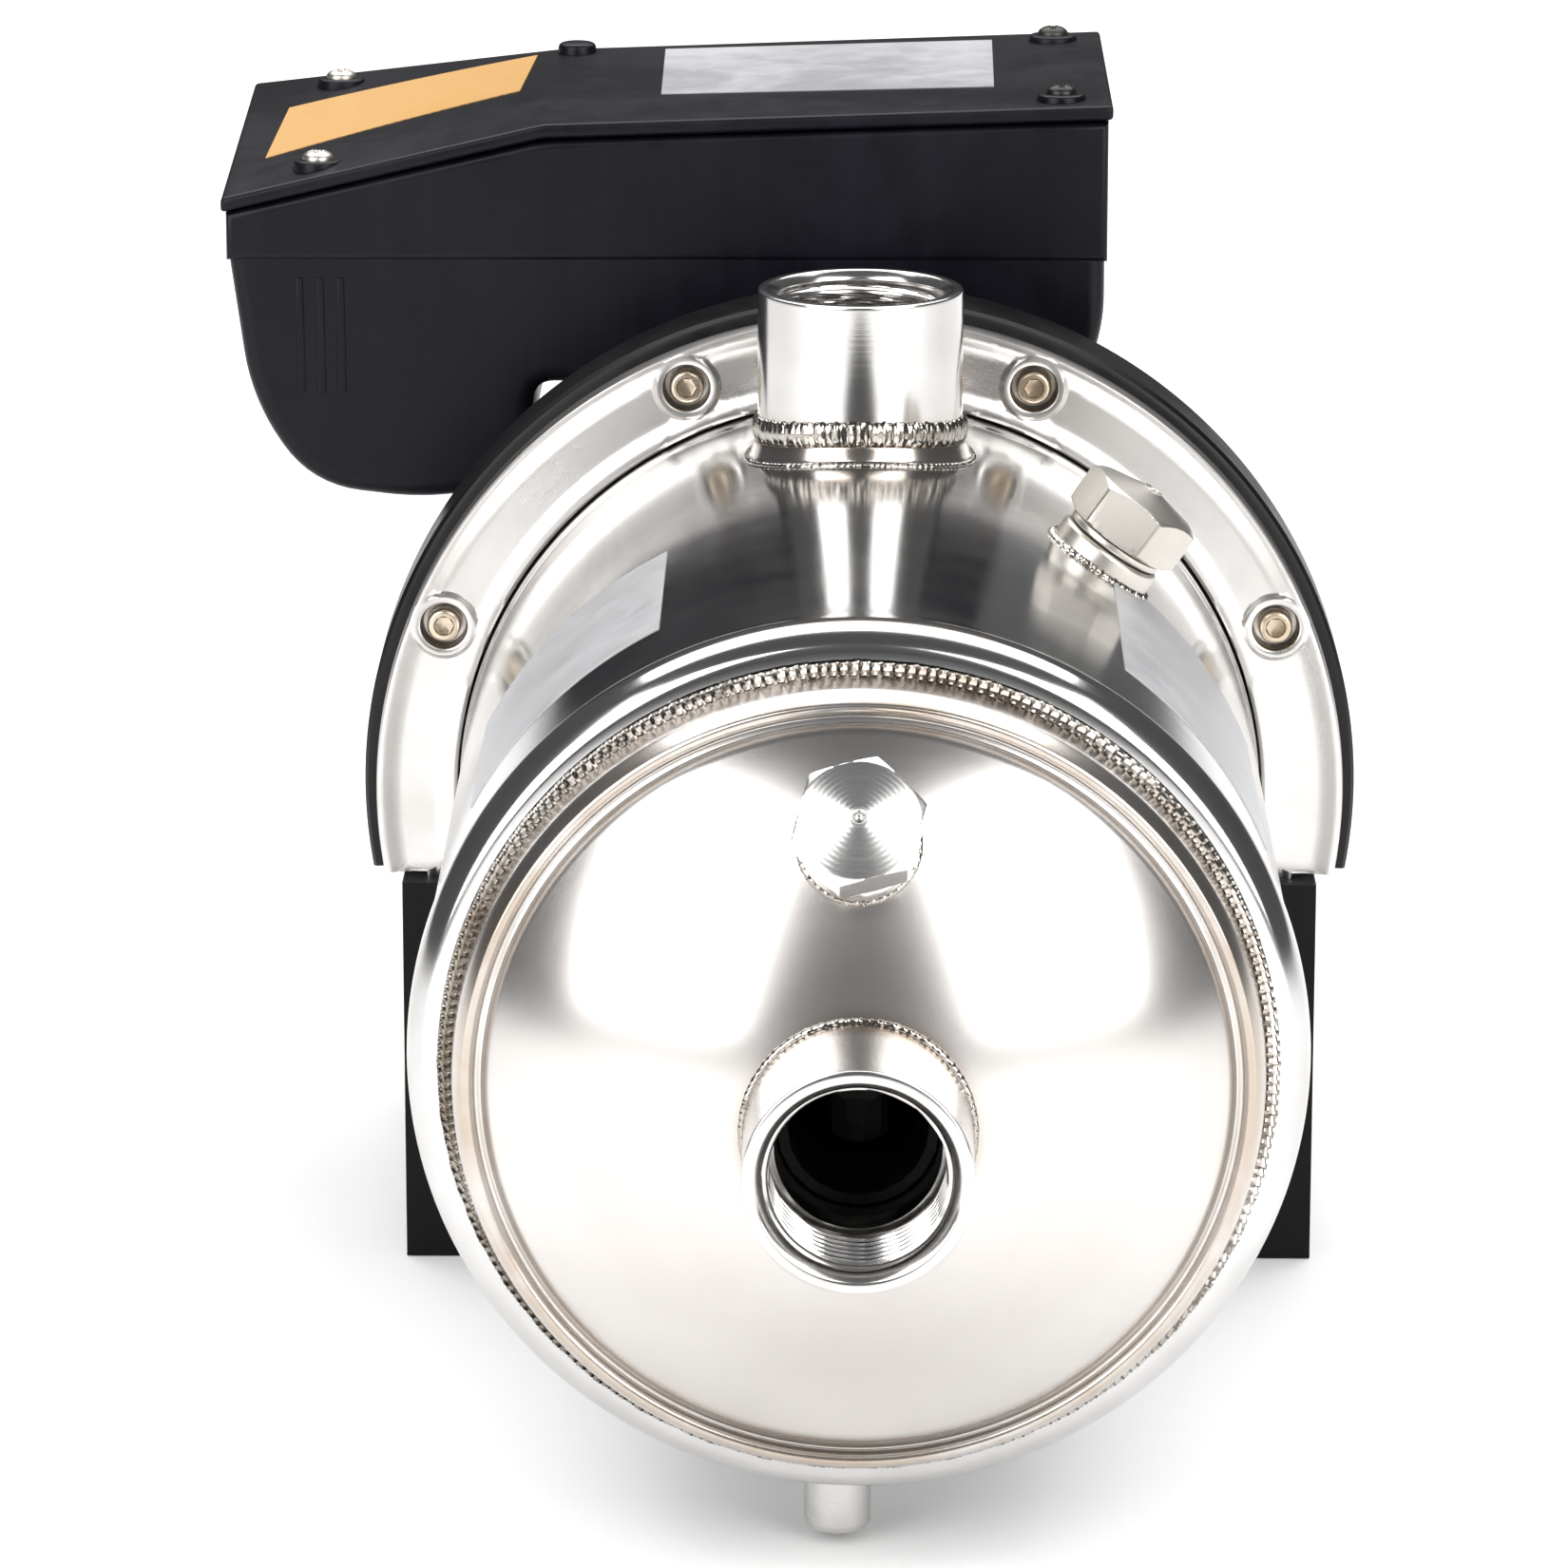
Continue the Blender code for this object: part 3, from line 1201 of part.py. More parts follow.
def make_box_contents(a, base):
    """Run capacitor in the bulge, terminal block on the floor and the gland at the rear."""
    x = BULGE_CENTRE + 0.004
    z = BULGE_BOTTOM + BOX_WALL + CAPACITOR_RADIUS + 0.003
    start = a + BOX_WALL + 0.008
    place = frame_on(on_axis(start, x, z), (0.0, 1.0, 0.0))
    body = [
        (0.0, 0.0),
        (0.0, CAPACITOR_RADIUS - 0.001),
        (0.001, CAPACITOR_RADIUS),
        (CAPACITOR_LENGTH, CAPACITOR_RADIUS),
        (CAPACITOR_LENGTH, 0.0),
    ]
    turned("capacitor", body, place, FINE, GREY)
    floor = BOX_FLOOR + BOX_WALL + GAP
    prism(
        "terminal_block",
        box_outline(-TERMINAL_HALF[0], TERMINAL_HALF[0], -TERMINAL_HALF[1], TERMINAL_HALF[1]),
        0.0,
        TERMINAL_HEIGHT,
        frame_on(on_axis(a + TERMINAL_SETBACK, 0.0, floor), (0, 0, 1)),
        GREY,
    )
    rear = a + BOX_DEPTH
    centre_z = (BOX_FLOOR + BOX_PART_LINE) / 2 + 0.004
    behind = on_axis(rear + 0.01, GLAND_X, centre_z)
    drill(base, GLAND_NECK + GAP, on_axis(rear - 0.01, GLAND_X, centre_z), behind)
    gland = [
        (-BOX_WALL - 0.004, GLAND_BORE),
        (-BOX_WALL - 0.004, GLAND_NECK),
        (GAP, GLAND_NECK),
        (GAP, GLAND_RADIUS),
        (GLAND_REACH - 0.005, GLAND_RADIUS),
        (GLAND_REACH, GLAND_RADIUS - 0.003),
        (GLAND_REACH, GLAND_BORE),
    ]
    at = frame_on(on_axis(rear, GLAND_X, centre_z), (0.0, 1.0, 0.0))
    turned("cable_gland", gland, at, FINE, BLACK)


def build():
    """Make every piece of the pump."""
    clear_scene()
    make_barrel()
    make_cap()
    make_ports()
    centre = on_axis(CAP_CENTRE)
    tilt = front_plug_axis()
    spin = math.radians(FRONT_PLUG_SPIN)
    make_plug("gauge_plug", centre + tilt * CAP_SPHERE, tilt, spin)
    out = priming_axis()
    make_plug("priming_plug", on_axis(PRIMING_PLUG_STATION) + out * BARREL_RADIUS, out, 0.0)
    make_drain()
    make_clamp()
    make_stand()
    make_wet_end()
    make_shaft()
    make_bracket()
    make_motor()
    make_box()


build()
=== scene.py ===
import math

import bpy
import numpy as np
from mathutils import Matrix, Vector


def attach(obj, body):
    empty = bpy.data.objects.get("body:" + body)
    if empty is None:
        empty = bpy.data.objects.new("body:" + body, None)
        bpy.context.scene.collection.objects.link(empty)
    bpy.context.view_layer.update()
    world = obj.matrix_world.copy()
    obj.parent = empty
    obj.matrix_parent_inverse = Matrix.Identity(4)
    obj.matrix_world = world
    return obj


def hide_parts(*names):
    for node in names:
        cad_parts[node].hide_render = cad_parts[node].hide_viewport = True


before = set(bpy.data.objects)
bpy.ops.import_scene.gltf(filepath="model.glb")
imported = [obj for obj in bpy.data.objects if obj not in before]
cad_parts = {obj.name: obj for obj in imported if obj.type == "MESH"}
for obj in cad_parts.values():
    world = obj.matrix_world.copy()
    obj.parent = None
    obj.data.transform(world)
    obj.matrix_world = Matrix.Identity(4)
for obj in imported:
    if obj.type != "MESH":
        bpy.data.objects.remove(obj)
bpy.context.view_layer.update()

# Sizes in metres; radii and heights count from the pump's axis, and stations along Y
TAU = 2 * math.pi
AXIS = 0.097  # height of the pump's axis above the ground
FLANGE = -0.0612  # front face of the clamp ring
BEAD = -0.2437  # where the barrel's straight wall meets its front bead
MOUTH = -0.3162  # face of the suction socket
BARREL, SHEET = 0.080, 0.0015
DOME, DOME_Y = 0.095, -0.19465  # the dished cap's sphere
PORT, PORT_TOP = 0.020, 0.1107
DISCHARGE_Y = FLANGE - 0.032
PRIMING_Y = FLANGE - 0.0725
BOSS = 0.0105
DRAIN = (-0.0037, -0.2276, 0.0)
BOLT_CIRCLE, BOLTS = 0.0906, 8
SHOULDER = -0.0176  # top of the stand's front plate
RING_BORE, RING_EDGE, BRACKET_EDGE = 0.0812, 0.0978, 0.1005
FRAME_EDGE, FINS, FIN_HEIGHT = 0.064, 28, 0.0045
COVER_FRONT, COVER_END, COVER_EDGE = 0.0634, 0.1004, 0.0705
BOX_LEFT, BOX_RIGHT, FOLD = -0.1295, 0.050, -0.065
BOX_FRONT, BOX_REAR = FLANGE + 0.0455, FLANGE + 0.0455 + 0.0915
BOX_LOW, BOX_FLOOR, PART_LINE = 0.0500, 0.0750, 0.1006
LID_PROUD, SKIRT_PROUD = 0.0014, 0.0005
PUMP_CENTRE, ACROSS, ALONG, UP = (0.0, 0.0, AXIS), (1.0, 0.0, 0.0), (0.0, 1.0, 0.0), (0.0, 0.0, 1.0)
PUMP = tuple(np.array(v) for v in (PUMP_CENTRE, ACROSS, UP, ALONG))


# Shapes


def unit(v):
    """A vector, or an array of them, divided by its length."""
    v = np.asarray(v, float)
    return v / np.linalg.norm(v, axis=-1, keepdims=True)


def stand_at(origin, axis):
    """Origin and three square directions, the last along axis."""
    n = unit(axis)
    e1 = unit(np.cross((0, 0, 1) if abs(n[2]) < 0.9 else (0, 1, 0), n))
    return np.array(origin, float), e1, np.cross(n, e1), n


def eased(corners, steps=4, loop=True):
    """Corners (a, b, ease) joined by straight lines, each rounded by a quadratic curve that reaches ease."""
    pts = np.array([c[:2] for c in corners], float)
    out = []
    for k, (_, _, ease) in enumerate(corners):
        p = pts[k]
        if ease <= 0 or (not loop and k in (0, len(pts) - 1)):
            out.append(p[None])
            continue
        before, after = pts[k - 1] - p, pts[(k + 1) % len(pts)] - p
        reach = min(ease, 0.48 * np.linalg.norm(before), 0.48 * np.linalg.norm(after))
        a, b = p + unit(before) * reach, p + unit(after) * reach
        t = np.linspace(0, 1, steps + 1)[:, None]
        out.append((1 - t) ** 2 * a + 2 * t * (1 - t) * p + t**2 * b)
    return np.concatenate(out)


def quads(rows, cols, close_rows=False, close_cols=True):
    """Four-sided faces of a grid of rows x cols points, as indices."""
    i = np.arange(rows if close_rows else rows - 1)
    j = np.arange(cols if close_cols else cols - 1)
    a, b = (x.ravel() for x in np.meshgrid(i, j, indexing="ij"))
    c, d = (a + 1) % rows, (b + 1) % cols
    return np.stack([a * cols + b, a * cols + d, c * cols + d, c * cols + b], -1)


def outward(points, groups):
    """A shell with its faces turned so that its volume, a third of the sum of point dot area, is positive."""
    volume = 0.0
    for f in groups:
        p = points[f]
        area = 0.5 * np.cross(p, np.roll(p, -1, axis=1)).sum(1)
        volume += (p[:, 0] * area).sum() / 3
    return points, [f[:, ::-1] for f in groups] if volume < 0 else groups


def shell(grid, close_rows=False, close_cols=True, caps=False):
    """A grid of points [row, col, xyz] as a shell; caps closes its first and last rows with a flat face."""
    rows, cols = grid.shape[:2]
    points, groups = grid.reshape(-1, 3), [quads(rows, cols, close_rows, close_cols)]
    if caps:
        first = np.arange(cols)
        groups += [first[None, ::-1], (first + (rows - 1) * cols)[None]]
    return outward(points, groups)


def turned(rows, where, segments=120, loop=True, warp=None):
    """Rows (height, radius) carried round an axis: origin + height x axis + radius x (cosine, sine).

    warp moves the heights and radii once more, by angle.
    """
    theta = TAU * np.arange(segments)[None] / segments
    h, r = (np.repeat(rows[:, k : k + 1], segments, 1) for k in (0, 1))
    if warp is not None:
        h, r = warp(h, r, theta)
    o, e1, e2, n = where
    grid = o + h[..., None] * n + (r * np.cos(theta))[..., None] * e1 + (r * np.sin(theta))[..., None] * e2
    return shell(grid, close_rows=loop)


def round_pump(radius, theta, y):
    """Points round the pump's axis: (radius x cosine, station, axis + radius x sine)."""
    across, up = radius * np.cos(theta), AXIS + radius * np.sin(theta)
    return np.stack(np.broadcast_arrays(across, y, up), -1)


def inset(outline, depth):
    """A closed outline with its sides moved in by depth: a corner goes to where its moved sides meet."""
    ahead = unit(np.roll(outline, -1, 0) - outline)
    normal = np.stack([ahead[:, 1], -ahead[:, 0]], -1)
    before = np.roll(normal, 1, 0)
    a, b = outline.T
    turn = np.sign((a * np.roll(b, -1) - np.roll(a, -1) * b).sum())
    share = 1 + (normal * before).sum(1, keepdims=True)
    return outline - turn * depth * (normal + before) / np.maximum(share, 0.3)


def eased_block(outline_at, low, high, ease, to_world, steps=4, rows=2):
    """Outlines carried from depth low to high, drawn in along a quarter circle at both flat ends."""
    turn = np.linspace(0, math.pi / 2, steps + 1)
    start = [(low, 1.2 * ease)]
    start += [(low + ease * (1 - math.cos(t)), ease * (1 - math.sin(t))) for t in turn]
    end = [(low + high - d, i) for d, i in start[::-1]]
    between = [(d, 0.0) for d in np.linspace(low + ease, high - ease, rows + 2)[1:-1]]
    grid = [to_world(inset(outline_at(d), i), d) for d, i in start + between + end]
    return shell(np.array(grid), caps=True)


def link(item):
    """Puts an object in the scene."""
    bpy.context.scene.collection.objects.link(item)


def put(name, shells, finish, stands_for=(), crease=35, body="pump"):
    """One piece from several shells: poles merged, their faces made triangles, smooth but for creases."""
    points, faces, start = [], [], 0
    for pts, groups in shells:
        keys, back = np.unique(np.round(pts, 8), axis=0, return_inverse=True)
        back = back.ravel()
        points.append(keys)
        for f in groups:
            f = back[f]
            if f.shape[1] != 4:
                faces += (f + start).tolist()
                continue
            same = f == np.roll(f, -1, axis=1)
            count = same.sum(1)
            faces += (f[count == 0] + start).tolist()
            once = f[count == 1]
            drop = same[count == 1].argmax(1)
            keep = (drop[:, None] + np.array([1, 2, 3])) % 4
            faces += (np.take_along_axis(once, keep, 1) + start).tolist()
        start += len(keys)
    mesh = bpy.data.meshes.new(name)
    mesh.from_pydata(np.concatenate(points).tolist(), [], faces)
    mesh.shade_smooth()
    mesh.set_sharp_from_angle(angle=math.radians(crease))
    mesh.materials.append(finish)
    piece = bpy.data.objects.new(name, mesh)
    link(piece)
    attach(piece, body)
    if stands_for:
        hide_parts(*stands_for)


def windowed(grid, windows, close_rows=False):
    """A grid closed round its columns, with rings of points let into windows of it.

    Each window is (row low, row high, column low, column high, rings), where rings takes the window's edge
    points and gives the rings inside it. Returns points, faces and the indices of each window's last ring.
    """
    rows, cols = grid.shape[:2]
    faces = quads(rows, cols, close_rows)
    keep = np.ones(len(faces), bool)
    points, groups, last = [grid.reshape(-1, 3)], [], []
    total = rows * cols
    for r0, r1, c0, c1, rings in windows:
        i, j = faces[:, 0] // cols, faces[:, 0] % cols
        keep &= ~((i >= r0) & (i < r1) & ((j - c0) % cols < c1 - c0))
        across, along = np.arange(c0, c1), np.arange(r0, r1)
        edge_r = np.concatenate([np.full(len(across), r0), along, np.full(len(across), r1), along[::-1] + 1])
        edge_c = np.concatenate([across, np.full(len(along), c1), across[::-1] + 1, np.full(len(along), c0)])
        edge = edge_r * cols + edge_c % cols
        made = rings(points[0][edge])
        count = len(made) * len(edge)
        index = np.concatenate([edge[None], total + np.arange(count).reshape(len(made), -1)])
        points.append(made.reshape(-1, 3))
        total += count
        a, b = index[:-1], index[1:]
        groups.append(np.stack([a, np.roll(a, -1, 1), np.roll(b, -1, 1), b], -1).reshape(-1, 4))
        last.append(index[-1])
    return np.concatenate(points), [faces[keep]] + groups, last


def compact(points, groups):
    """A shell without the points that no face uses."""
    used, back = np.unique(np.concatenate([f.ravel() for f in groups]), return_inverse=True)
    sizes = np.cumsum([f.size for f in groups])[:-1]
    return points[used], [b.reshape(f.shape) for b, f in zip(np.split(back.ravel(), sizes), groups)]


def weld(name, path, out, tall, wide, pitch, lean, depth, samples=6, sides=14):
    """A weld along a closed path: an ellipse whose size falls over each pitch, its scales bowed by lean."""
    step = np.linalg.norm(np.roll(path, -1, 0) - path, axis=1)
    length = step.sum()
    count = round(length / pitch)
    s = np.concatenate([[0], np.cumsum(step)]) / length
    at = np.arange(count * samples) / (count * samples)
    ring = np.concatenate([path, path[:1]])
    tops = np.concatenate([out, out[:1]])
    p = np.stack([np.interp(at, s, ring[:, k]) for k in range(3)], -1)
    up = unit(np.stack([np.interp(at, s, tops[:, k]) for k in range(3)], -1))
    ahead = unit(np.roll(p, -1, 0) - np.roll(p, 1, 0))
    side = unit(np.cross(ahead, up))
    phi = TAU * np.arange(sides)[None] / sides
    cross, rise = np.cos(phi), np.sin(phi)
    phase = (at[:, None] * count + lean * cross**2 + 0.15 * np.sin(at[:, None] * TAU * 23)) % 1
    lift = 1 + depth * (0.5 - phase)
    wander = 1 + 0.05 * np.sin(at[:, None] * TAU * 41) + 0.04 * np.sin(at[:, None] * TAU * 97)
    grid = (
        p[:, None]
        + side[:, None] * (wide * cross * wander * (0.9 + 0.1 * lift))[..., None]
        + up[:, None] * (tall * rise * lift * wander)[..., None]
    )
    put(name, [shell(grid, close_rows=True)], WELD_STEEL)


def circle_path(where, radius, height=0.0, count=360):
    """Points of a circle about an axis and their outward directions."""
    o, e1, e2, n = where
    t = TAU * np.arange(count)[:, None] / count
    out = np.cos(t) * e1 + np.sin(t) * e2
    return o + height * n + radius * out, out


def hexagonal(theta, flats, spin=0.0):
    """Distance from the centre to a hexagon's side at an angle, for a width across flats."""
    return flats / 2 / np.cos((theta - spin) % (TAU / 6) - TAU / 12)


# Finishes


def material(name, colour, metallic, rough, **sockets):
    """A new principled material and its parts: material, node tree, shader."""
    made = bpy.data.materials.new(name)
    made.use_nodes = True
    shader = made.node_tree.nodes["Principled BSDF"]
    shader.inputs["Base Color"].default_value = (*colour, 1)
    shader.inputs["Metallic"].default_value = metallic
    shader.inputs["Roughness"].default_value = rough
    for key, value in sockets.items():
        shader.inputs[key.replace("_", " ")].default_value = value
    return made, made.node_tree, shader


def node(tree, kind, inputs=(), **settings):
    """A node with its settings; inputs are sockets to link or values to set, by place or name."""
    made = tree.nodes.new("ShaderNode" + kind)
    for key, value in settings.items():
        setattr(made, key, value)
    for key, value in dict(inputs).items():
        if isinstance(value, bpy.types.NodeSocket):
            tree.links.new(value, made.inputs[key])
        else:
            made.inputs[key].default_value = value
    return made


def maths(tree, operation, a, b=0.0, c=0.0):
    """One arithmetic step, as a socket."""
    return node(tree, "Math", {0: a, 1: b, 2: c}, operation=operation).outputs[0]


def ramp(tree, value, low, high, to_low=0.0, to_high=1.0):
    """A value eased from one range to another, as a socket."""
    inputs = {0: value, 1: low, 2: high, 3: to_low, 4: to_high}
    return node(tree, "MapRange", inputs, interpolation_type="SMOOTHSTEP").outputs[0]


def mix(tree, share, low, high):
    """Two colours mixed by a share, as a socket; each is a socket or three numbers."""
    low, high = (c if isinstance(c, bpy.types.NodeSocket) else (*c, 1) for c in (low, high))
    return node(tree, "Mix", {0: share, 6: low, 7: high}, data_type="RGBA").outputs[2]


def object_coords(tree):
    """Where a point of the surface lies in the piece's own frame, as a socket."""
    return node(tree, "TexCoord").outputs["Object"]


def around(tree, centre, axis):
    """Distance from an axis and distance along it, as sockets."""
    coords = object_coords(tree)
    local = node(tree, "VectorMath", {0: coords, 1: centre}, operation="SUBTRACT").outputs[0]
    along = node(tree, "VectorMath", {0: local, 1: axis}, operation="DOT_PRODUCT").outputs["Value"]
    on_axis = node(tree, "VectorMath", {0: local, 1: axis}, operation="PROJECT").outputs[0]
    flat = node(tree, "VectorMath", {0: local, 1: on_axis}, operation="SUBTRACT").outputs[0]
    away = node(tree, "VectorMath", {0: flat}, operation="LENGTH").outputs["Value"]
    return away, along, local


def noise(tree, vector, scale, detail=3.0, rough=0.55, distortion=0.0):
    """A noise value, as a socket."""
    inputs = {"Vector": vector, "Scale": scale, "Detail": detail, "Roughness": rough}
    return node(tree, "TexNoise", {**inputs, "Distortion": distortion}).outputs["Fac"]


def finished(made, tree, shader, colours, shade, rough, bumps):
    """Mixes the colours by shade, sets the roughness and stacks the bumps (height, strength, distance)."""
    colour = mix(tree, shade, *colours[:2])
    for extra, tint in colours[2:]:
        colour = mix(tree, extra, colour, tint)
    tree.links.new(colour, shader.inputs["Base Color"])
    tree.links.new(rough, shader.inputs["Roughness"])
    normal = None
    for height, strength, distance in bumps:
        parts = {"Height": height, "Strength": strength, "Distance": distance}
        if normal is not None:
            parts["Normal"] = normal
        normal = node(tree, "Bump", parts).outputs[0]
    if normal is not None:
        tree.links.new(normal, shader.inputs["Normal"])
    return made


HEAT_TINT = (0.36, 0.26, 0.17)


def steel(name, light, dark, low, high, line_scale, lines, grain, tints=(), centre=PUMP_CENTRE, axis=ALONG):
    """Stainless steel turned or rolled about an axis: fine lines, soft smudges, grain and heat tint by welds.

    Each tint is (distance from the axis or along it, which of the two, half width, strength).
    """
    made, tree, shader = material(name, light, 1.0, (low + high) / 2)
    away, along, local = around(tree, centre, axis)
    track = node(tree, "CombineXYZ", {0: away, 1: along}).outputs[0]
    line = noise(tree, track, line_scale, 2.0, 0.7)
    broad = noise(tree, track, line_scale / 22, 2.0)
    smudge = noise(tree, local, 38.0, 4.0, 0.6)
    speck = noise(tree, local, 2600.0, 2.0)
    shade = maths(tree, "ADD", maths(tree, "MULTIPLY", smudge, 0.6), maths(tree, "MULTIPLY", broad, 0.4))
    level = ramp(tree, shade, 0.3, 0.7, low, high - (high - low) * 0.3)
    rough = maths(tree, "MULTIPLY_ADD", line, (high - low) * 0.35, level)
    colours = [light, dark]
    for place, which, half, strength in tints:
        gap = maths(tree, "ABSOLUTE", maths(tree, "SUBTRACT", (away, along)[which], place))
        fade = ramp(tree, gap, 0.0, half, strength, 0.0)
        colours.append((maths(tree, "MULTIPLY", fade, ramp(tree, smudge, 0.25, 0.6)), HEAT_TINT))
    bumps = [(line, lines, 0.00004), (speck, grain, 0.00005)]
    return finished(made, tree, shader, colours, ramp(tree, shade, 0.35, 0.65), rough, bumps)


def moulded(name, base, worn, rough, grain_scale, grain, metallic=0.0, **sockets):
    """Moulded, cast or painted stuff: fine pebble grain, soft colour drift and a rougher film of handling."""
    made, tree, shader = material(name, base, metallic, rough, **sockets)
    coords = object_coords(tree)
    pebble = noise(tree, coords, grain_scale, 3.0, 0.6)
    drift = noise(tree, coords, 22.0, 4.0, 0.6, 0.6)
    drawn_down = node(tree, "Mapping", {"Vector": coords, "Scale": (1, 1, 0.12)}).outputs[0]
    streak = noise(tree, drawn_down, 160.0, 3.0)
    shade = maths(tree, "MULTIPLY_ADD", drift, 0.7, maths(tree, "MULTIPLY", streak, 0.3))
    level = ramp(tree, shade, 0.3, 0.7, rough - 0.07, rough + 0.1)
    level = maths(tree, "MULTIPLY_ADD", pebble, 0.06, level)
    bumps = [(pebble, grain, 0.00008)]
    return finished(made, tree, shader, [base, worn], ramp(tree, shade, 0.35, 0.7), level, bumps)


TILT, LEAN = math.radians(31), math.radians(35)  # the gauge plug's axis and the priming plug's
PLUG_AXIS = np.array((0, -math.cos(TILT), math.sin(TILT)))
PLUG_FOOT = np.array((0, DOME_Y, AXIS)) + PLUG_AXIS * DOME
PRIMING_AXIS = np.array((math.sin(LEAN), 0, math.cos(LEAN)))
PRIMING_FOOT = np.array((0, PRIMING_Y, AXIS)) + PRIMING_AXIS * BARREL
DISCHARGE_CENTRE = (0.0, DISCHARGE_Y, AXIS)

# Name, light and dark colour, roughness low and high, scale and depth of the lines, grain, tints, axis
BARREL_STEEL = steel(
    "rolled_stainless", (0.58, 0.575, 0.57), (0.50, 0.495, 0.49), 0.10, 0.18, 1400, 0.10, 0.02,
    ((BEAD + 0.0005, 1, 0.006, 0.35),),
)
CAP_STEEL = steel(
    "pressed_stainless", (0.60, 0.575, 0.555), (0.56, 0.535, 0.515), 0.22, 0.27, 1600, 0.04, 0.07,
    ((0.0700, 0, 0.0035, 0.6), (0.0208, 0, 0.0022, 0.4)),
)
RING_STEEL = steel(
    "satin_stainless_ring", (0.66, 0.64, 0.62), (0.58, 0.56, 0.54), 0.24, 0.36, 1200, 0.16, 0.08
)
SUCTION_STEEL = steel(
    "turned_suction_socket", (0.62, 0.605, 0.59), (0.53, 0.515, 0.50), 0.15, 0.24, 1500, 0.22, 0.05,
    ((-0.2905, 1, 0.006, 0.6),),
)
DISCHARGE_STEEL = steel(
    "turned_discharge_socket", (0.62, 0.605, 0.59), (0.53, 0.515, 0.50), 0.14, 0.22, 1500, 0.22, 0.05,
    ((0.0835, 1, 0.006, 0.55),), DISCHARGE_CENTRE, UP,
)
WELD_STEEL = steel("weld_metal", (0.46, 0.44, 0.415), (0.22, 0.19, 0.16), 0.10, 0.22, 700, 0.05, 0.08)
PLUG_STEEL = steel(
    "turned_plug", (0.70, 0.69, 0.675), (0.57, 0.56, 0.545), 0.18, 0.30, 1300, 0.30, 0.05,
    (), tuple(PLUG_FOOT), tuple(PLUG_AXIS),
)
PRIMING_STEEL = steel(
    "satin_plug", (0.62, 0.59, 0.545), (0.52, 0.49, 0.45), 0.30, 0.44, 900, 0.2, 0.2,
    (), tuple(PRIMING_FOOT), tuple(PRIMING_AXIS),
)
DRAIN_STEEL = steel(
    "turned_drain", (0.64, 0.63, 0.61), (0.54, 0.53, 0.51), 0.22, 0.36, 1500, 0.25, 0.05, (), DRAIN, UP
)

# Name, base and worn colour, roughness, scale and depth of the grain
SCREW_STEEL = moulded("screw_steel", (0.60, 0.58, 0.55), (0.46, 0.42, 0.37), 0.30, 2400, 0.15, 1.0)
FLANGE_SCREW = moulded("flange_screw_steel", (0.62, 0.53, 0.42), (0.44, 0.33, 0.22), 0.28, 2400, 0.15, 1.0)
BLACK_SCREW = moulded("blackened_screw", (0.03, 0.03, 0.03), (0.07, 0.065, 0.06), 0.36, 2400, 0.15, 0.9)
BOX_PLASTIC = moulded(
    "satin_black_plastic", (0.0030, 0.0026, 0.0048), (0.0055, 0.0048, 0.0085), 0.32, 1500, 0.05,
    Specular_IOR_Level=0.16,
)
STAND_PLASTIC = moulded(
    "matt_black_plastic", (0.0035, 0.0033, 0.0036), (0.007, 0.0066, 0.007), 0.42, 1100, 0.3,
    Specular_IOR_Level=0.12,
)
BLACK_PAINT = moulded(
    "black_paint_on_casting", (0.0035, 0.0033, 0.0038), (0.008, 0.0075, 0.008), 0.32, 420, 0.4,
    Specular_IOR_Level=0.2,
)
RUBBER = moulded("black_rubber", (0.016, 0.016, 0.016), (0.034, 0.033, 0.031), 0.62, 1500, 0.35)
GREY_PLASTIC = moulded("grey_moulding", (0.30, 0.30, 0.29), (0.38, 0.37, 0.35), 0.42, 1200, 0.2)
BRASS = moulded("cast_brass", (0.68, 0.47, 0.20), (0.52, 0.34, 0.14), 0.30, 700, 0.3, 1.0)
COPPER = moulded("enamelled_copper", (0.60, 0.27, 0.12), (0.42, 0.16, 0.07), 0.34, 1800, 0.6, 1.0)
CARBON = moulded("seal_face_carbon", (0.07, 0.07, 0.075), (0.13, 0.13, 0.13), 0.26, 2000, 0.1)
INNER_STEEL = steel(
    "plain_stainless_inside", (0.60, 0.59, 0.58), (0.48, 0.47, 0.46), 0.26, 0.42, 1100, 0.2, 0.1
)
DATA_FOIL = moulded("pale_foil_label", (0.42, 0.42, 0.43), (0.50, 0.50, 0.51), 0.34, 1400, 0.12, 0.35)
AMBER_FILM = moulded("amber_film_label", (0.58, 0.33, 0.105), (0.50, 0.28, 0.085), 0.38, 1500, 0.1)


def laminated():
    """Stacked electrical steel: thin dark seams between half-millimetre sheets."""
    made, tree, shader = material("laminated_steel", (0.30, 0.30, 0.31), 1.0, 0.42)
    _, along, local = around(tree, PUMP_CENTRE, ALONG)
    wave = maths(tree, "ABSOLUTE", maths(tree, "SINE", maths(tree, "MULTIPLY", along, math.pi / 0.0005)))
    level = ramp(tree, noise(tree, local, 120.0), 0.3, 0.7, 0.34, 0.52)
    colours = [(0.34, 0.34, 0.35), (0.20, 0.19, 0.19)]
    seams = ramp(tree, wave, 0.0, 0.4, 1.0, 0.0)
    return finished(made, tree, shader, colours, seams, level, [(wave, 0.3, 0.0001)])


LAMINATED = laminated()


# Casing


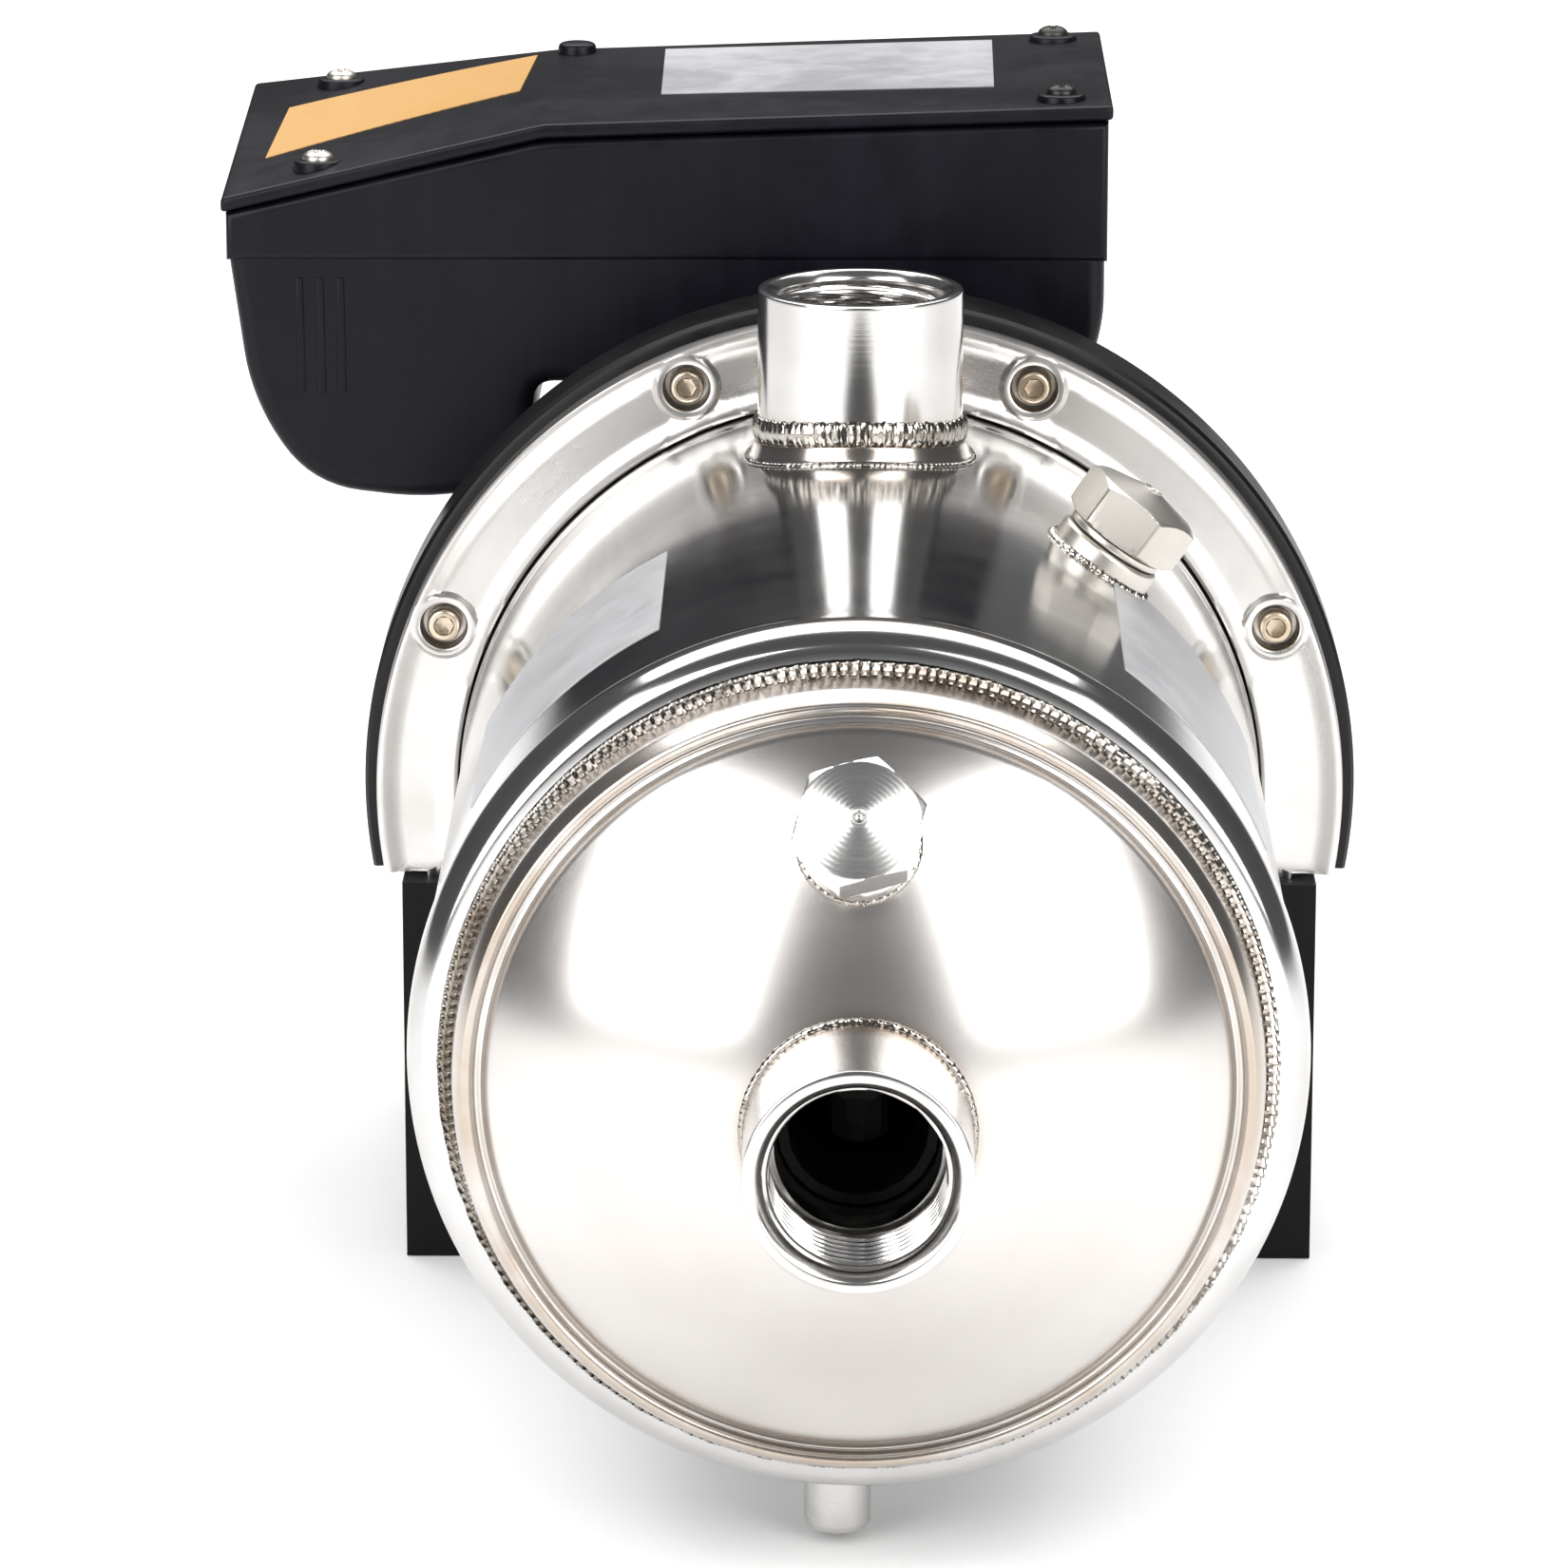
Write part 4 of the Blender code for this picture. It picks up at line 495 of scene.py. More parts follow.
def barrel_outline():
    """Outer and inner profiles of the barrel (station, radius), both from the rear to the front."""
    outer = [
        (-0.0535, 0.0860, 0), (-0.0549, 0.0862, 0.0006), (-0.0551, 0.0812, 0.0006), (-0.0640, 0.0808, 0.0006),
        (-0.0652, 0.0803, 0.0005), (-0.0720, BARREL, 0.004), (-0.2368, BARREL, 0.0012),
        (-0.2380, 0.0804, 0.0010), (-0.2415, 0.0812, 0.0016), (-0.2462, 0.0806, 0.0030),
        (-0.2494, 0.0775, 0.0026), (-0.2496, 0.0752, 0),
    ]
    inner = [
        (-0.0535, 0.0785, 0), (-0.0720, 0.0785, 0), (-0.2368, 0.0785, 0.001), (-0.2440, 0.0782, 0.003),
        (-0.2475, 0.0752, 0.002), (-0.2476, 0.0735, 0),
    ]
    return eased(outer, loop=False), eased(inner, loop=False)


def filled(rows, spacing):
    """Profile rows with more put between them where they stand further apart than spacing."""
    out = [rows[:1]]
    for a, b in zip(rows[:-1], rows[1:]):
        count = max(1, math.ceil(np.linalg.norm(b - a) / spacing))
        out.append(a + (b - a) * (np.arange(1, count + 1) / count)[:, None])
    return np.concatenate(out)


def make_barrel():
    """Rolled barrel, two walls deep, with holes for the discharge socket, the priming plug and the drain.

    Inside a window the rings run from its edge to the hole, along straight lines in the unrolled sheet.
    """
    cols, margin = 240, 0.0045
    theta = TAU * np.arange(cols)[None] / cols
    holes = ((90.0, DISCHARGE_Y, PORT), (55.0, PRIMING_Y, 0.0106), (267.4, DRAIN[1], 0.0062))
    shells, lasts = [], []
    for rows, wall in zip(barrel_outline(), (BARREL, BARREL - SHEET)):
        rows = filled(rows, 0.0021)
        grid = round_pump(rows[:, 1:], theta, rows[:, :1])
        windows = []
        for degrees, at, radius in holes:
            angle = math.radians(degrees)
            half = radius + margin
            span = max(3, round(half / BARREL / (TAU / cols)))
            centre = round(degrees / 360 * cols)
            row = np.abs(rows[:, 0] - at + 100 * (np.abs(rows[:, 1] - wall) > 1e-4)).argmin()
            deep = max(3, round(half / 0.00205))

            def rings(edge, angle=angle, at=at, radius=radius, wall=wall):
                a = wall * ((np.arctan2(edge[:, 2] - AXIS, edge[:, 0]) - angle + math.pi) % TAU - math.pi)
                b = edge[:, 1] - at
                turn = np.arctan2(b, a)
                t = np.array([0.34, 0.67, 1.0])[:, None]
                a = a * (1 - t) + t * radius * np.cos(turn)
                b = b * (1 - t) + t * radius * np.sin(turn)
                return round_pump(wall, angle + a / wall, at + b)

            windows.append((row - deep, row + deep, centre - span, centre + span, rings))
        points, groups, last = windowed(grid, windows)
        shells.append((points, groups, len(rows)))
        lasts.append(last)
    (po, go, no), (pi, gi, ni) = shells
    shift = len(po)
    groups = go + [f[:, ::-1] + shift for f in gi]
    pairs = [(a, b + shift) for a, b in zip(*lasts)]
    ring = np.arange(cols)
    rims = [(ring, ring + shift), (ring + (no - 1) * cols, ring + shift + (ni - 1) * cols)]
    for k, (a, b) in enumerate(pairs + rims):
        wall = np.stack([a, np.roll(a, -1), np.roll(b, -1), b], -1)
        groups.append(wall[:, ::-1] if k == len(pairs) else wall)
    points, groups = compact(np.concatenate([po, pi]), groups)
    put("barrel", [outward(points, groups)], BARREL_STEEL, ["barrel_shell"])


def make_cap():
    """Dished cap: rim bead, lip and a part of a sphere, with an inner face behind it."""
    rim = [
        (-0.2494, 0.0748, 0), (-0.2512, 0.0728, 0.0004), (-0.2540, 0.0724, 0.001), (-0.2598, 0.0722, 0.0030),
        (-0.2630, 0.0702, 0.0016), (-0.2626, 0.0687, 0.0006), (-0.2607, 0.0681, 0.0007),
        (-0.2612, 0.0669, 0.0004),
    ]
    radii = np.linspace(0.0662, 0.0198, 46)
    dome = np.stack([DOME_Y - np.sqrt(DOME**2 - radii**2), radii], -1)
    back = radii[::-3]
    inner = np.stack([DOME_Y - np.sqrt((DOME - SHEET) ** 2 - back**2), back], -1)
    rear = [(-0.2592, 0.0690), (-0.2560, 0.0705), (-0.2520, 0.0712), (-0.2494, 0.0722)]
    rows = np.concatenate([eased(rim, loop=False), dome, inner, rear])
    put("dished_cap", [turned(rows, PUMP, 300)], CAP_STEEL, ["front_cap"])
    path, out = circle_path(PUMP, 0.0737, -0.2506, 900)
    out = unit((0.0, -1.0, 0.0) + 0.35 * out)
    weld("cap_weld", path, out, 0.0016, 0.0014, 0.0019, 1.4, 0.6, 8, 18)


def threaded(where, length, root):
    """Socket with an eased mouth and a 1 inch parallel thread inside; root moves its lower end to the shell.

    The thread's crest stands in by a rounded tooth of the phase height / pitch - angle / turn.
    """
    pitch, deep, bore, seat = 0.002309, 0.00115, 0.01655, length - 0.020
    outer = [
        (0.0, PORT, 0), (length - 0.0046, PORT, 0.002), (length - 0.0016, PORT, 0.0008),
        (length - 0.0002, PORT, 0.0005), (length, PORT - 0.0007, 0.0004), (length, 0.0180, 0.0004),
        (length - 0.0014, 0.01665, 0),
    ]
    inside = np.linspace(length - 0.0018, seat + 0.0006, 100)
    inside = np.stack([inside, np.full(100, bore)], -1)
    passage = [(seat, bore), (seat, 0.0146), (seat - 0.001, 0.0145), (0.0, 0.0145)]
    rows = np.concatenate([eased(outer, loop=False), inside, passage])

    def warp(h, r, theta):
        fade = np.clip((length - 0.0022 - h) / 0.002, 0, 1) * np.clip((h - seat - 0.001) / 0.002, 0, 1)
        tooth = np.clip(0.5 + 0.75 * np.cos(TAU * (h / pitch) - theta), 0, 1)
        r = r - deep * tooth * ((np.abs(r - bore) < 1e-6) * fade)
        return np.where(h <= 0.0, root(r, theta), h), r

    return turned(rows, where, 120, warp=warp)


def make_suction():
    """Threaded suction socket and the weld at its root."""
    start = -0.2835
    where = stand_at((0, start, AXIS), (0, -1, 0))
    port = threaded(where, start - MOUTH, lambda r, theta: 0.0 * r)
    put("suction_socket", [port], SUCTION_STEEL, ["suction_port"])
    path, out = circle_path(PUMP, 0.0203, DOME_Y - math.sqrt(DOME**2 - 0.0205**2) - 0.0002, 300)
    weld("suction_weld", path, unit(out + (0, -0.9, 0)), 0.0006, 0.0007, 0.0015, 0.8, 0.35)


def saddle(across):
    """Height of the barrel's surface above the axis, at a distance across the pump."""
    return np.sqrt(BARREL**2 - across**2)


def make_discharge():
    """Threaded discharge socket, butt-welded to a short neck drawn up from the barrel."""
    where = tuple(np.array(v) for v in (DISCHARGE_CENTRE, ACROSS, ALONG, UP))
    port = threaded(where, PORT_TOP, lambda r, theta: saddle(r * np.cos(theta)) - 0.001)
    put("discharge_socket", [port], DISCHARGE_STEEL, ["discharge_port"])
    neck = [
        (-0.0006, 0.0229, 0), (0.0001, 0.0226, 0.0003), (0.0006, 0.0216, 0.0009), (0.0028, 0.0209, 0.0006),
        (0.0034, 0.0207, 0.0003), (0.0034, 0.0201, 0), (-0.0006, 0.0201, 0),
    ]
    rise = turned(eased(neck), where, 180, warp=lambda h, r, theta: (h + saddle(r * np.cos(theta)), r))
    put("discharge_neck", [rise], DISCHARGE_STEEL)

    def on_saddle(radius, rise):
        """A circle about the socket's axis, laid on the barrel and raised, and its outward directions."""
        path, out = circle_path(where, radius, count=420)
        path[:, 2] += saddle(radius * out[:, 0]) + rise
        return path, out

    path, out = on_saddle(0.0199, 0.0057)
    weld("discharge_weld", path, out, 0.0011, 0.0025, 0.0021, 0.9, 0.34, 9, 18)
    path, out = on_saddle(0.0222, 0.0001)
    weld("discharge_toe", path, unit(out + (0, 0, 1.2)), 0.0005, 0.0006, 0.0012, 0.4, 0.4)


# Plugs


def hex_plug(name, prefix, foot, axis, spin, finish, rings):
    """Hexagon plug with its seal ring and boss.

    The head's radius is the smaller of a hexagon's and a cone's. Its face is coned, with turned rings and a
    centre dimple, and its stem is threaded.
    """
    where = stand_at(foot, axis)
    under, high, flats, stem, pitch = 0.0061, 0.009, 0.021, 0.0064, 0.001337
    top = under + high
    radii = np.linspace(0.0103, 0.0019, 64)
    face = np.stack([top + 0.0021 * (0.0103 - radii) / 0.0084, radii], -1)
    face[:, 0] += rings * np.cos(TAU * radii / 0.00093)
    side = np.array([(h, 1.0) for h in (under + 0.0006, under + 0.002, top - 0.0024)])
    band = np.stack([np.linspace(top - 0.0018, top - 0.0001, 12), np.full(12, 1.0)], -1)
    dimple = [
        (top + 0.0023, 0.0019, 0), (top + 0.0024, 0.0013, 0.0003), (top + 0.0013, 0.0007, 0.0004),
        (top + 0.0012, 0.0, 0),
    ]
    low = under - 0.0098
    thread = np.stack([np.linspace(low + 0.001, under - 0.0006, 56), np.full(56, stem)], -1)
    end, collar = [(low, 0.0), (low, stem - 0.001)], [(under, stem), (under, 1.0), (under + 0.0003, 1.0)]
    rows = np.concatenate([end, thread, collar, side, band, face, eased(dimple, loop=False)])

    def warp(h, r, theta):
        cone = np.minimum(0.0104 + (top - h) / math.tan(math.radians(31)), 0.0106 + (h - under) * 2.2)
        head = np.minimum(hexagonal(theta, flats, spin), cone)
        cut = (np.abs(r - stem) < 1e-6) * (h < under - 0.0005)
        return h, np.where(r == 1.0, head, r + 0.0003 * np.cos(TAU * h / pitch - theta) * cut)

    plug = turned(rows, where, 180, loop=False, warp=warp)
    put(name, [plug], finish, [prefix], 24, prefix)
    rim = [(0.0043, 0.0068, 0), (0.0043, 0.0098, 0.0005), (0.0058, 0.0098, 0.0005), (0.0058, 0.0068, 0)]
    ring, seal = turned(eased(rim), where, 90), prefix.replace("_plug", "_seal")
    put(seal + "_ring", [ring], finish, [prefix + "_washer"], body=seal)
    boss = [
        (-0.003, 0.0068, 0), (-0.003, BOSS, 0), (0.0034, BOSS, 0.0006), (0.0040, 0.0099, 0.0004),
        (0.0040, 0.0068, 0),
    ]
    boss = turned(eased(boss), where, 120)
    put(prefix + "_weld_boss", [boss], finish, [prefix + "_boss"])
    return where


def make_plugs():
    """Gauge plug on the cap and priming plug on the barrel, with their bosses welded round."""
    spin = math.radians(15)
    where = hex_plug("gauge_hex_plug", "gauge_plug", PLUG_FOOT, PLUG_AXIS, spin, PLUG_STEEL, 0.000012)
    path, out = circle_path(where, BOSS, -0.0006, 200)
    weld("gauge_boss_weld", path, unit(out + 0.8 * PLUG_AXIS), 0.0006, 0.0007, 0.0014, 0.8, 0.35)
    hex_plug("priming_hex_plug", "priming_plug", PRIMING_FOOT, PRIMING_AXIS, 0.3, PRIMING_STEEL, 0.000006)
    t, toe = TAU * np.arange(240) / 240, BOSS + 0.0002
    angle = math.radians(55) + np.arcsin(toe * np.sin(t) / BARREL)
    off_barrel = np.stack([np.cos(angle), 0 * t, np.sin(angle)], -1)
    path = round_pump(BARREL, angle, PRIMING_Y + toe * np.cos(t))
    out = unit(unit(path - PRIMING_FOOT) + off_barrel)
    weld("priming_boss_weld", path, out, 0.0008, 0.0009, 0.0014, 0.6, 0.4)


def make_drain():
    """Drain boss under the barrel with a socketed plug and its seal."""
    where = stand_at(DRAIN, UP)
    boss = [
        (0.0200, 0.0043, 0), (0.0200, 0.0061, 0), (0.0036, 0.0061, 0.0004), (0.0023, 0.0052, 0.0004),
        (0.0023, 0.0043, 0),
    ]
    put("drain_socket", [turned(eased(boss), where, 96)], DRAIN_STEEL, ["drain_boss"])
    path, out = circle_path(where, 0.0063, AXIS - 0.0801, 120)
    weld("drain_weld", path, unit(out - UP), 0.0007, 0.0008, 0.0013, 0.5, 0.4)
    screw = socket_head(where, 0.0030, 0.0039, 0.0070, 0.004, 0.0035, down=True)
    put("drain_screw", [screw], SCREW_STEEL, ["drain_plug"], 24, "drain_plug")
    disc = [(0.0103, 0.0, 0), (0.0103, 0.0039, 0.0004), (0.0118, 0.0039, 0.0004), (0.0118, 0.0, 0)]
    disc = turned(eased(disc, loop=False), where, 48, loop=False)
    put("drain_seal_disc", [disc], RUBBER, ["drain_seal"], body="drain_seal")


def socket_head(where, foot, radius, top, flats, deep, down=False, stem=None):
    """Round head with an eased rim and a hexagon socket, which down puts at its foot.

    stem is (length, radius). A row's radius of 1 or 2 stands for the hexagon or its chamfer.
    """
    rows = [(0.0, 0.0, 0)]
    if stem:
        rows = [(-stem[0], 0.0, 0), (-stem[0], stem[1], 0), (0.0, stem[1], 0)]
    rows += [(0.0, radius, 0.0003), (top - 0.0007, radius, 0.0004), (top, radius * 0.86, 0.0004)]
    head = eased(rows + [(top, flats / 2 * 1.22, 0)], loop=False)
    hole = [(0.0001, 2.0), (0.0004, 1.0), (deep * 0.6, 1.0), (deep, 1.0), (deep * 1.15, 0.0)]
    rows = np.concatenate([head, [(top - drop, r) for drop, r in hole]])

    def warp(h, r, theta):
        flat = hexagonal(theta, flats)
        r = np.where(r == 2.0, flat + 0.00025, np.where(r == 1.0, flat, r))
        return (foot + top - h if down else foot + h), r

    return turned(rows, where, 72, loop=False, warp=warp)


# Clamp joint


def bolts():
    """(number, x, z from the axis, whether behind the stand) of each flange screw."""
    for k in range(BOLTS):
        angle = TAU * (k + 0.5) / BOLTS
        x, z = BOLT_CIRCLE * math.sin(angle), BOLT_CIRCLE * math.cos(angle)
        yield k + 1, x, z, z < SHOULDER


def flange_edge(theta, radius, half=0.0878, flat=0.0912):
    """Distance from the axis to a round flange's edge, below its shoulder cut to half and flat."""
    x, z = np.cos(theta), np.sin(theta)
    shoulder = math.asin(SHOULDER / radius)
    side = half / np.maximum(np.abs(x), 1e-6)
    under = flat / np.maximum(-z, 1e-6)
    cut = np.minimum(np.minimum(side, under), radius)
    return np.where(z < math.sin(shoulder), cut, radius)


def make_clamp_ring():
    """Clamp ring: a rolled ridge at each edge, a channel between them, and a pocketed boss at each screw that
    is not behind the stand.

    The face is set back by a depth that follows the share of the way from bore to edge. A screw's rings, from
    its foot inwards, carry the depth of its boss, rim, pocket wall and floor.
    """
    cols, thick, foot = 720, 0.006, 0.0070
    theta = (TAU * np.arange(cols) / cols)[None]
    face = [
        (0, 0.8), (0.015, 0.35), (0.05, 0.0), (0.1, 0.0), (0.15, 0.25), (0.2, 0.8), (0.26, 1.25), (0.32, 1.3),
        (0.42, 1.3), (0.5, 1.3), (0.58, 1.3), (0.68, 1.3), (0.76, 1.25), (0.82, 0.8), (0.88, 0.25),
        (0.93, 0.0), (0.97, 0.1), (0.99, 0.4), (1.0, 1.2),
    ]
    share, ridge = np.array(face).T
    ridge = ridge * 0.001
    rows = np.concatenate([np.stack([share, ridge], -1), [(1.0, thick), (0.5, thick), (0.0, thick)]])
    r = RING_BORE + (flange_edge(theta, RING_EDGE) - RING_BORE) * rows[:, :1]
    grid = round_pump(r, theta, FLANGE + rows[:, 1:])
    windows = []
    for _, x, z, lower in bolts():
        if lower:
            continue
        centre = round(math.atan2(z, x) / TAU * cols)

        def rings(rim, x=x, z=z):
            a, b = rim[:, 0] - x, rim[:, 2] - AXIS - z
            far, turn = np.hypot(a, b), np.arctan2(b, a)
            away = [far + (foot - far) * t for t in (0.25, 0.5, 0.75, 1.0)]
            away = np.array(away + [0 * far + d * 0.001 for d in (6.75, 6.5, 6.25, 6.0, 5.8)])
            u, w = x + away * np.cos(turn), z + away * np.sin(turn)
            edge = flange_edge(np.arctan2(w, u), RING_EDGE)
            at = (np.hypot(u, w) - RING_BORE) / (edge - RING_BORE)
            rise = np.clip((foot - away) / 0.0010, 0, 1)
            drop = np.interp(at, share, ridge) * (1 - rise * rise * (3 - 2 * rise))
            well = [(5.1, 0), (4.85, 0.12), (4.65, 0.45), (4.55, 3), (4.3, 4.4), (3.8, 4.5)]
            well = np.array(well + [(2, 4.5), (0, 4.5)]) * 0.001
            away = np.concatenate([away, np.repeat(well[:, :1], len(far), 1)])
            drop = np.concatenate([drop, np.repeat(well[:, 1:], len(far), 1)])
            return np.stack([x + away * np.cos(turn), FLANGE + drop, AXIS + z + away * np.sin(turn)], -1)

        windows.append((1, 16, centre - 13, centre + 13, rings))
    points, groups, _ = windowed(grid, windows, close_rows=True)
    ring = outward(*compact(points, groups))
    put("clamp_flange", [ring], RING_STEEL, ["clamp_ring"], 30)
    for number, x, z, lower in bolts():
        face = -0.0048 if lower else 0.0045
        where = stand_at((x, FLANGE + face - 0.0003, AXIS + z), (0, -1, 0))
        length = 0.0226 if lower else 0.0135
        head = socket_head(where, 0.0, 0.0034, 0.0040, 0.0034, 0.0022, stem=(length, 0.0020))
        stands_for = ["flange_screw_%d" % number]
        put("flange_bolt_%d" % number, [head], FLANGE_SCREW, stands_for, 24)


def make_bracket():
    """Painted motor bracket: the flange's outline for 18 mm, easing into a round bell behind it.

    Its rows blend the flange's edge with a circle by a smooth share of the way back.
    """
    front, bore, bell = -0.0548, 0.030, 0.0655
    rows = [(0.0, bore, 0.0, 0.0), (0.0, 1.0, 0.0, 0.0018), (0.0004, 1.0, 0.0, 0.0007)]
    rows += [(0.0014, 1.0, 0.0, 0.0)]
    rows += [(0.0165, 1.0, 0.0, 0.0), (0.0178, 1.0, 0.05, 0.0005), (0.0183, 1.0, 0.12, 0.002)]
    rows += [(0.0187 + 0.0007 * k, 1.0, 0.12 + 0.88 * (k / 8) ** 0.8, 0.002) for k in range(1, 9)]
    rows += [(0.0244, bore, 1.0, 0.0)]
    theta = TAU * np.arange(360)[None] / 360
    edge = flange_edge(theta, BRACKET_EDGE)
    back, share, blend, draw = (np.array([row[k] for row in rows])[:, None] for k in range(4))
    r = (edge - draw) * (1 - blend) + bell * blend
    casting = shell(round_pump(np.where(share < 1, share, r), theta, front + back), close_rows=True)
    put("bracket_casting", [casting], BLACK_PAINT, ["motor_bracket"], 30)


# Motor


def make_motor_frame():
    """Finned motor frame: the tube's radius plus a rounded comb of the angle, filled up under the box."""
    theta = TAU * np.arange(FINS * 24)[None] / (FINS * 24)
    comb = np.clip(0.5 + 1.1 * np.cos(FINS * theta), 0, 1)
    pad = (np.abs(np.cos(theta)) * (FRAME_EDGE + FIN_HEIGHT) < 0.030) & (np.sin(theta) > 0)
    height = np.where(pad, 1.0, comb) * FIN_HEIGHT
    rows = [(-0.0305, 0.056, 0), (-0.0305, 0.0635, 0)]  # station, radius, share of the fin
    rows += [(-0.0299, FRAME_EDGE, 0.5), (-0.0285, FRAME_EDGE, 0.9), (-0.0270, FRAME_EDGE, 1.0)]
    rows += [(0.0595, FRAME_EDGE, 1.0), (0.0612, FRAME_EDGE, 0.9), (0.0624, FRAME_EDGE, 0.5)]
    rows = np.array(rows + [(0.0630, 0.0635, 0), (0.0630, 0.056, 0)])
    grid = round_pump(rows[:, 1:2] + height * rows[:, 2:], theta, rows[:, :1])
    put("finned_frame", [shell(grid, close_rows=True)], BLACK_PAINT, ["motor_frame"])


def make_fan_cover():
    """Fan cover: turned cup whose end is cut by twelve air slots between ring-shaped bands.

    The slots' cells are left out of the grid's outer and inner faces, and walled between them.
    """
    per, slots, web, bands = 16, 12, 3, 12
    cols = per * slots
    theta = TAU * np.arange(cols)[None] / cols
    side = [(COVER_FRONT, COVER_EDGE, 0), (COVER_END - 0.0002, COVER_EDGE, 0.005), (COVER_END, 0.0560, 0)]
    side = eased(side, steps=8, loop=False)
    grille = [(COVER_END, r) for r in np.linspace(0.053, 0.024, bands)]
    outer = np.concatenate([side, grille, [(COVER_END, 0.0)]])
    inner = outer[::-1] - np.array([(SHEET, 0.0)])
    inner[-len(side):, 1] -= SHEET
    inner[-len(side), 1] += SHEET
    inner[-1, 0] = COVER_FRONT
    rows = np.concatenate([outer, inner])
    grid = round_pump(rows[:, 1:], theta, rows[:, :1])
    faces = quads(len(rows), cols, True)
    i, j = faces[:, 0] // cols, faces[:, 0] % cols
    first, last = len(side), len(side) + bands - 1
    mirror = len(rows) - 1
    slot = (j % per >= web) & (j % per < per - web)
    cut = slot & (((i >= first) & (i < last)) | ((i >= mirror - last) & (i < mirror - first)))
    walls = []
    for k in range(slots):
        a, b = k * per + web, (k + 1) * per - web
        ring = [(first, c) for c in range(a, b)] + [(row, b) for row in range(first, last)]
        ring += [(last, c) for c in range(b, a, -1)] + [(row, a) for row in range(last, first, -1)]
        near = np.array([row * cols + c % cols for row, c in ring])
        far = np.array([(mirror - row) * cols + c % cols for row, c in ring])
        walls.append(np.stack([near, np.roll(near, -1), np.roll(far, -1), far], -1))
    points, groups = compact(grid.reshape(-1, 3), [faces[~cut]] + walls)
    put("slotted_fan_cover", [outward(points, groups)], STAND_PLASTIC, ["fan_cover"], 30)


# Terminal box


def lid_height(x, y):
    """Height of the lid's upper face above the pump's axis: two planes that meet in a fold."""
    left = 0.1140 + 0.0075 * (y - BOX_FRONT) / (BOX_REAR - BOX_FRONT)
    slope = left + (0.1290 - left) * (x - BOX_LEFT) / (FOLD - BOX_LEFT)
    return np.where(x > FOLD, 0.1290 + 0.0040 * (x - FOLD) / (BOX_RIGHT - FOLD), slope)


def upright(outline, y):
    """An outline (across, above the axis) at a depth, in the frame."""
    return np.stack([outline[:, 0], np.full(len(outline), y), AXIS + outline[:, 1]], -1)


def lid_line(x, y, drop, steps=10):
    """Points (across, height) along the lid from one edge to the other, lowered by a drop."""
    xs = np.concatenate([np.linspace(x[0], FOLD + 0.003, steps), np.linspace(FOLD + 0.002, FOLD - 0.002, 5)])
    xs = np.concatenate([xs, np.linspace(FOLD - 0.003, x[1], steps)])
    soft = np.clip(1 - np.abs(xs - FOLD) / 0.003, 0, 1) ** 2 * 0.0002
    return np.stack([xs, lid_height(xs, y) - drop - soft], -1)


def box_outline(y):
    """Base of the box at a depth: deep bulge at the left, floor at the right, sloping top edge."""
    corners = [
        (BOX_LEFT, PART_LINE, 0.004), (BOX_LEFT + 0.004, BOX_LOW + 0.021, 0.016),
        (BOX_LEFT + 0.016, BOX_LOW + 0.003, 0.014), (-0.0885, BOX_LOW, 0.010),
        (-0.069, BOX_LOW + 0.004, 0.006), (-0.067, BOX_FLOOR, 0.004), (BOX_RIGHT - 0.004, BOX_FLOOR, 0.008),
        (BOX_RIGHT, BOX_FLOOR + 0.012, 0.006), (BOX_RIGHT, PART_LINE, 0.002),
    ]
    line = eased(corners, 8, loop=False)
    return np.concatenate([line, lid_line((BOX_RIGHT, BOX_LEFT), y, 0.0034)])


def lid_section(x):
    """The lid cut across the pump at x, as (depth, above the axis): a plate with eased edges."""
    ends = [(y, float(lid_height(x, y))) for y in (BOX_FRONT - LID_PROUD, BOX_REAR + LID_PROUD)]
    under = [(y, top - 0.0030, 0.0011) for y, top in ends]
    return eased(under + [(y, top, 0.0012) for y, top in ends[::-1]], 5)


def sideways(outline, x):
    """An outline (depth, above the axis) at a distance across the pump, in the frame."""
    return np.stack([np.full(len(outline), x), outline[:, 0], AXIS + outline[:, 1]], -1)


